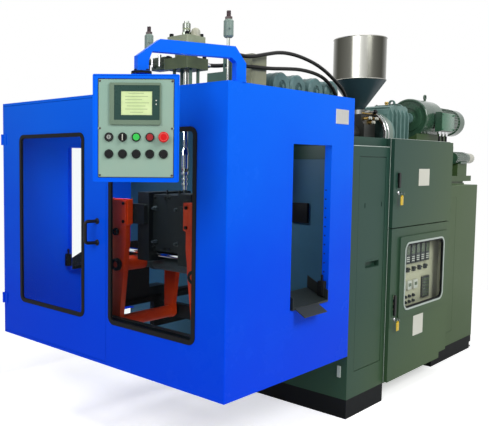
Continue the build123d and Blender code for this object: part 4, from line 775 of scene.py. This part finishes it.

# Hopper: polished stainless sheet with a painted reflection in upright bands, light at its
# edges, dark at its shoulders and with one painted highlight, and with a rolled rim, a bead
# at the cone and one welded seam. The cone is painted, the throat has taps.
hopper_y = 0.395
stainless_finish = Finish("hopper_stainless", (0.5, 0.5, 0.5), 0.2, 1.0)
centre = stainless_finish.node(
    "ShaderNodeMapping", "Vector", None, Vector=stainless_finish.place,
    Location=(0.0, -hopper_y, 0.0),
)
side_x = stainless_finish.node("ShaderNodeSeparateXYZ", "X", None, Vector=centre)
side_y = stainless_finish.node("ShaderNodeSeparateXYZ", "Y", None, Vector=centre)
fine = stainless_finish.noise(60.0, 3.0, (1.0, 1.0, 0.02), centre)
# Painted reflection: the bands follow the bearing round the hopper's axis, and 0.843 turns them so
# that the painted highlight faces the camera side.
bearing = side_y.join("ARCTAN2", side_y, side_x) * (1 / math.pi)
bearing = bearing + 0.843 + (fine - 0.5) * 0.012
edge, painted_shoulder_shade = (0.30, 0.30, 0.27), (0.05, 0.05, 0.04)
middle, glint = (0.15, 0.15, 0.13), (0.70, 0.70, 0.65)
painted_reflection_bands = stainless_finish.node(
    "ShaderNodeValToRGB", "Color",
    {"stops": [(place, (*tone, 1)) for place, tone in (
        (0.0, edge), (0.2, painted_shoulder_shade), (0.4, middle), (0.5, glint), (0.6, middle),
        (0.8, painted_shoulder_shade), (1.0, edge),
    )]}, Fac=bearing.join("FRACT", bearing),
)
stainless_finish.feed("Base Color", painted_reflection_bands)
stainless_finish.feed("Roughness", fine * 0.10 + 0.18)
stainless_finish.relief(fine, 0.00004)
paint(stainless_finish.material, "hopper")
stainless = metal("stainless", (0.62, 0.61, 0.56), (0.45, 0.44, 0.40), 0.2, (40, 40, 1))
paint(stainless, "hopper_gate")
beads = bmesh.new()
for height, radius in ((2.1095, 0.1648), (1.846, 0.1668)):
    bead = [(radius - 0.001, -0.0028), (radius + 0.0016, -0.0022), (radius + 0.0028, 0.0),
            (radius + 0.0016, 0.0022), (radius - 0.001, 0.0024), (radius - 0.001, -0.0028)]
    turned(beads, bead, (0, hopper_y, height), upward, 72)
slab(beads, (-0.002, 0.5595, 1.852), (0.002, 0.5612, 2.106), 0.0006, 1)
piece("hopper_beads", beads, stainless, "machine")
cone_dark = bmesh.new()
cone_line = [(0.0338, 1.6600), (0.1655, 1.8415), (0.1668, 1.8415), (0.0352, 1.6590),
             (0.0338, 1.6600)]
turned(cone_dark, cone_line, (0, hopper_y, 0), upward, 72)
cone_finish = enamel("cone_green", (0.024, 0.052, 0.064), (0.018, 0.040, 0.048), 0.3, sheen=0.35)
piece("hopper_cone", cone_dark, cone_finish, "machine")
knob = bmesh.new()
knob_place = Matrix.Translation((0.119, hopper_y, 1.641))
bmesh.ops.create_uvsphere(knob, u_segments=24, v_segments=16, radius=0.0150, matrix=knob_place)
piece("gate_knob", knob, black_plastic, "hopper_gate")
taps = bmesh.new()
white_taps = bmesh.new()
for y, z in ((0.352, 1.600), (0.395, 1.575), (0.438, 1.600)):
    bar(taps, (0.060, y, z), (0.092, y, z), 0.011, 6)
    bar(taps, (0.090, y, z), (0.104, y, z), 0.0085, 18)
    bar(white_taps, (0.102, y, z), (0.118, y, z), 0.011, 18, 0.009)
slab(taps, (0.058, 0.335, 1.6285), (0.074, 0.455, 1.6365), 0.002)
piece("throat_taps", taps, brass, "machine")
piece("throat_nozzles", white_taps, cream, "machine")

# Drive: lantern with two bright flange rings, grey-green gearbox with a breather and
# cover screws.
extruder_z, motor_z = 1.505, 1.642
rings = bmesh.new()
flange_ring = [
    (0.1360, -0.0006), (0.1512, -0.0006), (0.1526, 0.001), (0.1526, 0.011), (0.1512, 0.0126),
    (0.1455, 0.0126), (0.1455, 0.003), (0.1360, 0.003), (0.1360, -0.0006),
]
repeat(rings, flange_ring, [(0, y, extruder_z) for y in (0.480, 0.520)], backward, 72)
piece("flange_rings", rings, bright_steel, "machine")
sleeve = bmesh.new()
for start, end in ((0.4928, 0.5192), (0.5330, 0.599)):
    turned(sleeve, ring(0.1458, 0.1472, 0.0, end - start), (0, start, extruder_z), backward, 72)
piece("lantern_sleeve", sleeve, collar_green, "machine")
screws = bmesh.new()


def circle(count, radius, offset=0.0):
    """Places round a centre, as (across, up) pairs."""
    tilts = [math.tau * (step + offset) / count for step in range(count)]
    return [(radius * math.cos(tilt), radius * math.sin(tilt)) for tilt in tilts]


spots = [(across, 0.4795, extruder_z + up) for across, up in circle(12, 0.1436, 0.5)]
repeat(screws, cap_screw(0.0055, 0.006), spots, frontward, 14)
spots = [(x, y, 1.712) for x in (-0.048, 0.048) for y in (0.742, 0.790, 0.838)]
repeat(screws, cap_screw(0.006, 0.006), spots, upward, 14)
spots = [(across, 0.924, motor_z + up) for across, up in circle(8, 0.074)]
repeat(screws, cap_screw(0.007, 0.009), spots, backward, 14)
piece("gear_screws", screws, dark_steel, "machine")
breather = bmesh.new()
bar(breather, (0, 0.790, 1.711), (0, 0.790, 1.722), 0.011, 6)
breather_cap = [(0.0, 0.0), (0.009, 0.0), (0.014, 0.006), (0.014, 0.014), (0.009, 0.018),
                (0.0, 0.018)]
turned(breather, breather_cap, (0, 0.790, 1.721), upward, 24)
piece("gear_breather", breather, brass, "machine")

# Motors: dark green gloss enamel on ribbed castings. The terminal box has a lid in a
# paler green, a lit copy of the motor green as painted light, with four screws and three
# cable glands, and the pump motor a pale end cap.
motor_green = enamel("motor_green", (0.034, 0.092, 0.050), (0.022, 0.066, 0.040), 0.2,
                     coat=0.4, patch=6.0)
paint(motor_green, "main_motor", "speed_drum", "pump_motor")
lid = bmesh.new()
slab(lid, (0.1915, 1.270, 1.556), (0.1940, 1.492, 1.682), 0.0012)
spots = [(0.1938, y, z) for y in (1.280, 1.482) for z in (1.566, 1.672)]
repeat(lid, cap_screw(0.006, 0.006), spots, rightward, 14)
# Painted light: a paler copy of the motor green, for the light on the terminal box's right face.
lid_green = enamel("lid_green", (0.060, 0.190, 0.110), (0.048, 0.150, 0.090), 0.24,
                   coat=0.3, patch=6.0)
piece("terminal_lid", lid, lid_green, "machine")
glands = bmesh.new()
tubes = bmesh.new()
cable_x = 0.164
cable_gland = [(0.0, 0.0), (0.013, 0.0), (0.013, 0.010), (0.009, 0.020), (0.0, 0.020)]
for y in (1.300, 1.360, 1.420):
    bar(glands, (cable_x, y, 1.5485), (cable_x, y, 1.534), 0.015, 6)
    turned(glands, cable_gland, (cable_x, y, 1.535), downward, 20)
    bar(tubes, (cable_x, y, 1.516), (cable_x, y, 1.455), 0.0075, 16)
    bar(tubes, (0.166, y, 1.459), (0.070, y, 1.459), 0.0075, 16)
piece("cable_glands", glands, chrome, "machine")
piece("motor_conduits", tubes, black_plastic, "machine")
slots = bmesh.new()
for radius in (0.022, 0.034, 0.046, 0.057):
    turned(slots, ring(radius - 0.003, radius, -0.001, 0.0008), (0, 1.961, motor_z), backward, 40)
piece("fan_grille", slots, black_paint, "machine")
end_cap = bmesh.new()
cap_line = [(0.0, 0.0), (0.0388, 0.0), (0.0388, 0.094), (0.030, 0.1045), (0.012, 0.1065),
            (0.0, 0.1065)]
turned(end_cap, cap_line, (0.195, 1.7185, 1.358), backward, 40)
piece("pump_end_cap", end_cap, cream, "machine")

# Operator arm: blue like the guard. At its end sits a black swivel flange with four
# screws, over the panel's middle.
swivel_x, swivel_y = 0.346, -1.896
flange = bmesh.new()
flange_line = [(0.0105, 0.0), (0.0388, 0.0), (0.0388, 0.0095), (0.0365, 0.0115), (0.0105, 0.0115),
               (0.0105, 0.0)]
turned(flange, flange_line, (swivel_x, swivel_y, 1.6362), upward, 40)
spots = [(swivel_x + across, swivel_y + up, 1.6475) for across, up in circle(4, 0.032)]
repeat(flange, cap_screw(0.005, 0.006), spots, upward, 14)
piece("swivel_flange", flange, black_paint, "operator_arm")

# Operator panel: grey-green front plate in a blue box, held by screws through a dark
# hairline seal.
half = math.sqrt(0.5)
panel = Matrix((
    (half, 0, half, swivel_x), (half, 0, -half, swivel_y), (0, 1, 0, 1.432), (0, 0, 0, 1),
))
panel_pale = enamel("panel_pale", (0.235, 0.370, 0.305), (0.290, 0.390, 0.310), 0.36, sheen=0.15)
paint(panel_pale, "panel_plate")
middle, face = -0.018, 0.0500
rim_place = panel @ Matrix.Translation((middle, 0, 0.0498))
hairline = bmesh.new()
rounded_ring(hairline, 0.2815, 0.3635, 0.003, 0.0022, 0.0012)
piece("panel_seal", hairline, rubber, "operator_panel", rim_place)
lip = bmesh.new()
rounded_ring(lip, 0.3200, 0.3960, 0.006, 0.0045, 0.0022)
piece("panel_lip", lip, guard_blue, "operator_panel", rim_place)
screws = bmesh.new()
panel_screw = [(0.0, 0.0), (0.0042, 0.0), (0.0036, 0.0020), (0.0015, 0.0028), (0.0, 0.0020)]
spots = [(middle + u, v, face) for u in (-0.1335, 0.1335) for v in (-0.173, 0.0, 0.173)]
repeat(screws, panel_screw, spots, upward, 16)
piece("panel_screws", screws, dark_steel, "operator_panel", panel)

# Touch unit: grey-green bezel, dark inner face, pale backlit screen with a few plain lines,
# and two indicator lamps.
inner = bmesh.new()
for left, low, right, high in (
    (-0.0985, 0.0308, 0.0685, 0.0487), (-0.0985, 0.1353, 0.0685, 0.1572),
    (-0.0985, 0.0487, -0.0730, 0.1353), (0.0410, 0.0487, 0.0685, 0.1353),
):
    slab(inner, (left, low, 0.0544), (right, high, 0.0551), 0.0002, 1)
bezel_green = enamel("bezel_green", (0.145, 0.205, 0.145), (0.120, 0.180, 0.130), 0.4, sheen=0.2)
paint(bezel_green, "touch_screen")
touch_dark = enamel("touch_dark", (0.013, 0.048, 0.038), (0.010, 0.038, 0.031), 0.26, sheen=0.3)
piece("touch_face", inner, touch_dark, "operator_panel", panel)
glass = bmesh.new()
slab(glass, (-0.0735, 0.0480, 0.0529), (0.0415, 0.1360, 0.0534), 0.0002, 1)
screen_finish = Finish("touch_glow", (0.52, 0.62, 0.27), 0.22)
cloud = screen_finish.step(screen_finish.noise(14.0, 3.0), 0.3, 0.7)
glow = screen_finish.tint(cloud, (0.44, 0.56, 0.26), (0.52, 0.62, 0.32))
screen_finish.feed("Base Color", glow)
screen_finish.feed("Emission Color", glow)
screen_finish.shader.inputs["Emission Strength"].default_value = 0.18
piece("touch_glass", glass, screen_finish.material, "operator_panel", panel)
lines = bmesh.new()
for row, (left, right) in enumerate((
    (-0.046, 0.010), (-0.058, 0.026), (-0.058, 0.004), (-0.058, 0.030),
    (-0.052, 0.016), (-0.058, 0.024), (-0.040, 0.008),
)):
    v = 0.1265 - row * 0.0115
    slab(lines, (left, v, 0.0533), (right, v + 0.0028, 0.0536), 0.0001, 1)
line_grey = enamel("line_grey", (0.36, 0.45, 0.24), (0.33, 0.42, 0.22), 0.4)
piece("touch_lines", lines, line_grey, "operator_panel", panel)
lamps = bmesh.new()
lamp_line = [(0.0, 0.0), (0.0026, 0.0), (0.0020, 0.0010), (0.0, 0.0014)]
repeat(lamps, lamp_line, [(0.0560, v, 0.0551) for v in (0.102, 0.088)], upward, 14)
piece("touch_lamps", lamps, cream, "operator_panel", panel)

# Switches and buttons: black collars round coloured plastic caps, a steel key switch in a
# black ring, a pale mark on the selector and, on the emergency stop, a pale ring that is a
# painted highlight.
for name, node, color, shade, roughness, sheen in (
    ("button_green", "green_button", (0.03, 0.50, 0.07), (0.03, 0.44, 0.06), 0.22, 0.4),
    ("button_dark_red", "red_button", (0.30, 0.012, 0.015), (0.26, 0.01, 0.012), 0.25, 0.4),
    ("stop_red", "emergency_stop", (0.60, 0.003, 0.005), (0.52, 0.003, 0.004), 0.24, 0.3),
):
    paint(enamel(name, color, shade, roughness, sheen=sheen), node)
first_u, pitch, switch_v, button_v = -0.118, 0.0505, -0.032, -0.094
collars = bmesh.new()
collar = [(0.0128, 0.0), (0.0168, 0.0), (0.0166, 0.0045), (0.0152, 0.0068), (0.0128, 0.0068),
          (0.0128, 0.0)]
spots = [(first_u + pitch * step, v, face) for v in (switch_v, button_v) for step in range(5)]
repeat(collars, collar, spots, upward, 36)
piece("button_collars", collars, black_plastic, "operator_panel", panel)
key_barrel = bmesh.new()
key_line = [(0.0082, 0.0), (0.0124, 0.0), (0.0120, 0.0022), (0.0084, 0.0026), (0.0082, 0.0)]
turned(key_barrel, key_line, (first_u, switch_v, 0.0579), upward, 32)
slab(key_barrel, (-0.1190, -0.0375, 0.0571), (-0.1170, -0.0265, 0.0583), 0.0003, 1)
piece("key_ring", key_barrel, black_plastic, "key_switch", panel)
mark = bmesh.new()
slab(mark, (-0.0692, -0.0440, 0.0658), (-0.0658, -0.0215, 0.0663), 0.0002, 1)
piece("selector_mark", mark, cream, "selector_switch", panel)
# Painted highlight: a pale red ring on top of the emergency stop's dome.
stop_highlight_ring = bmesh.new()
turned(stop_highlight_ring, ring(0.0128, 0.0142, 0.0, 0.0006), (0.084, switch_v, 0.0739), upward, 40)
stop_pale = enamel("stop_pale", (0.80, 0.16, 0.14), (0.75, 0.13, 0.12), 0.3)
piece("stop_arcs", stop_highlight_ring, stop_pale, "emergency_stop", panel)

size = {"cad": [list(map(float, corner)) for corner in cad_bounds],
        "visual": [list(map(float, corner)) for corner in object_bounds()]}
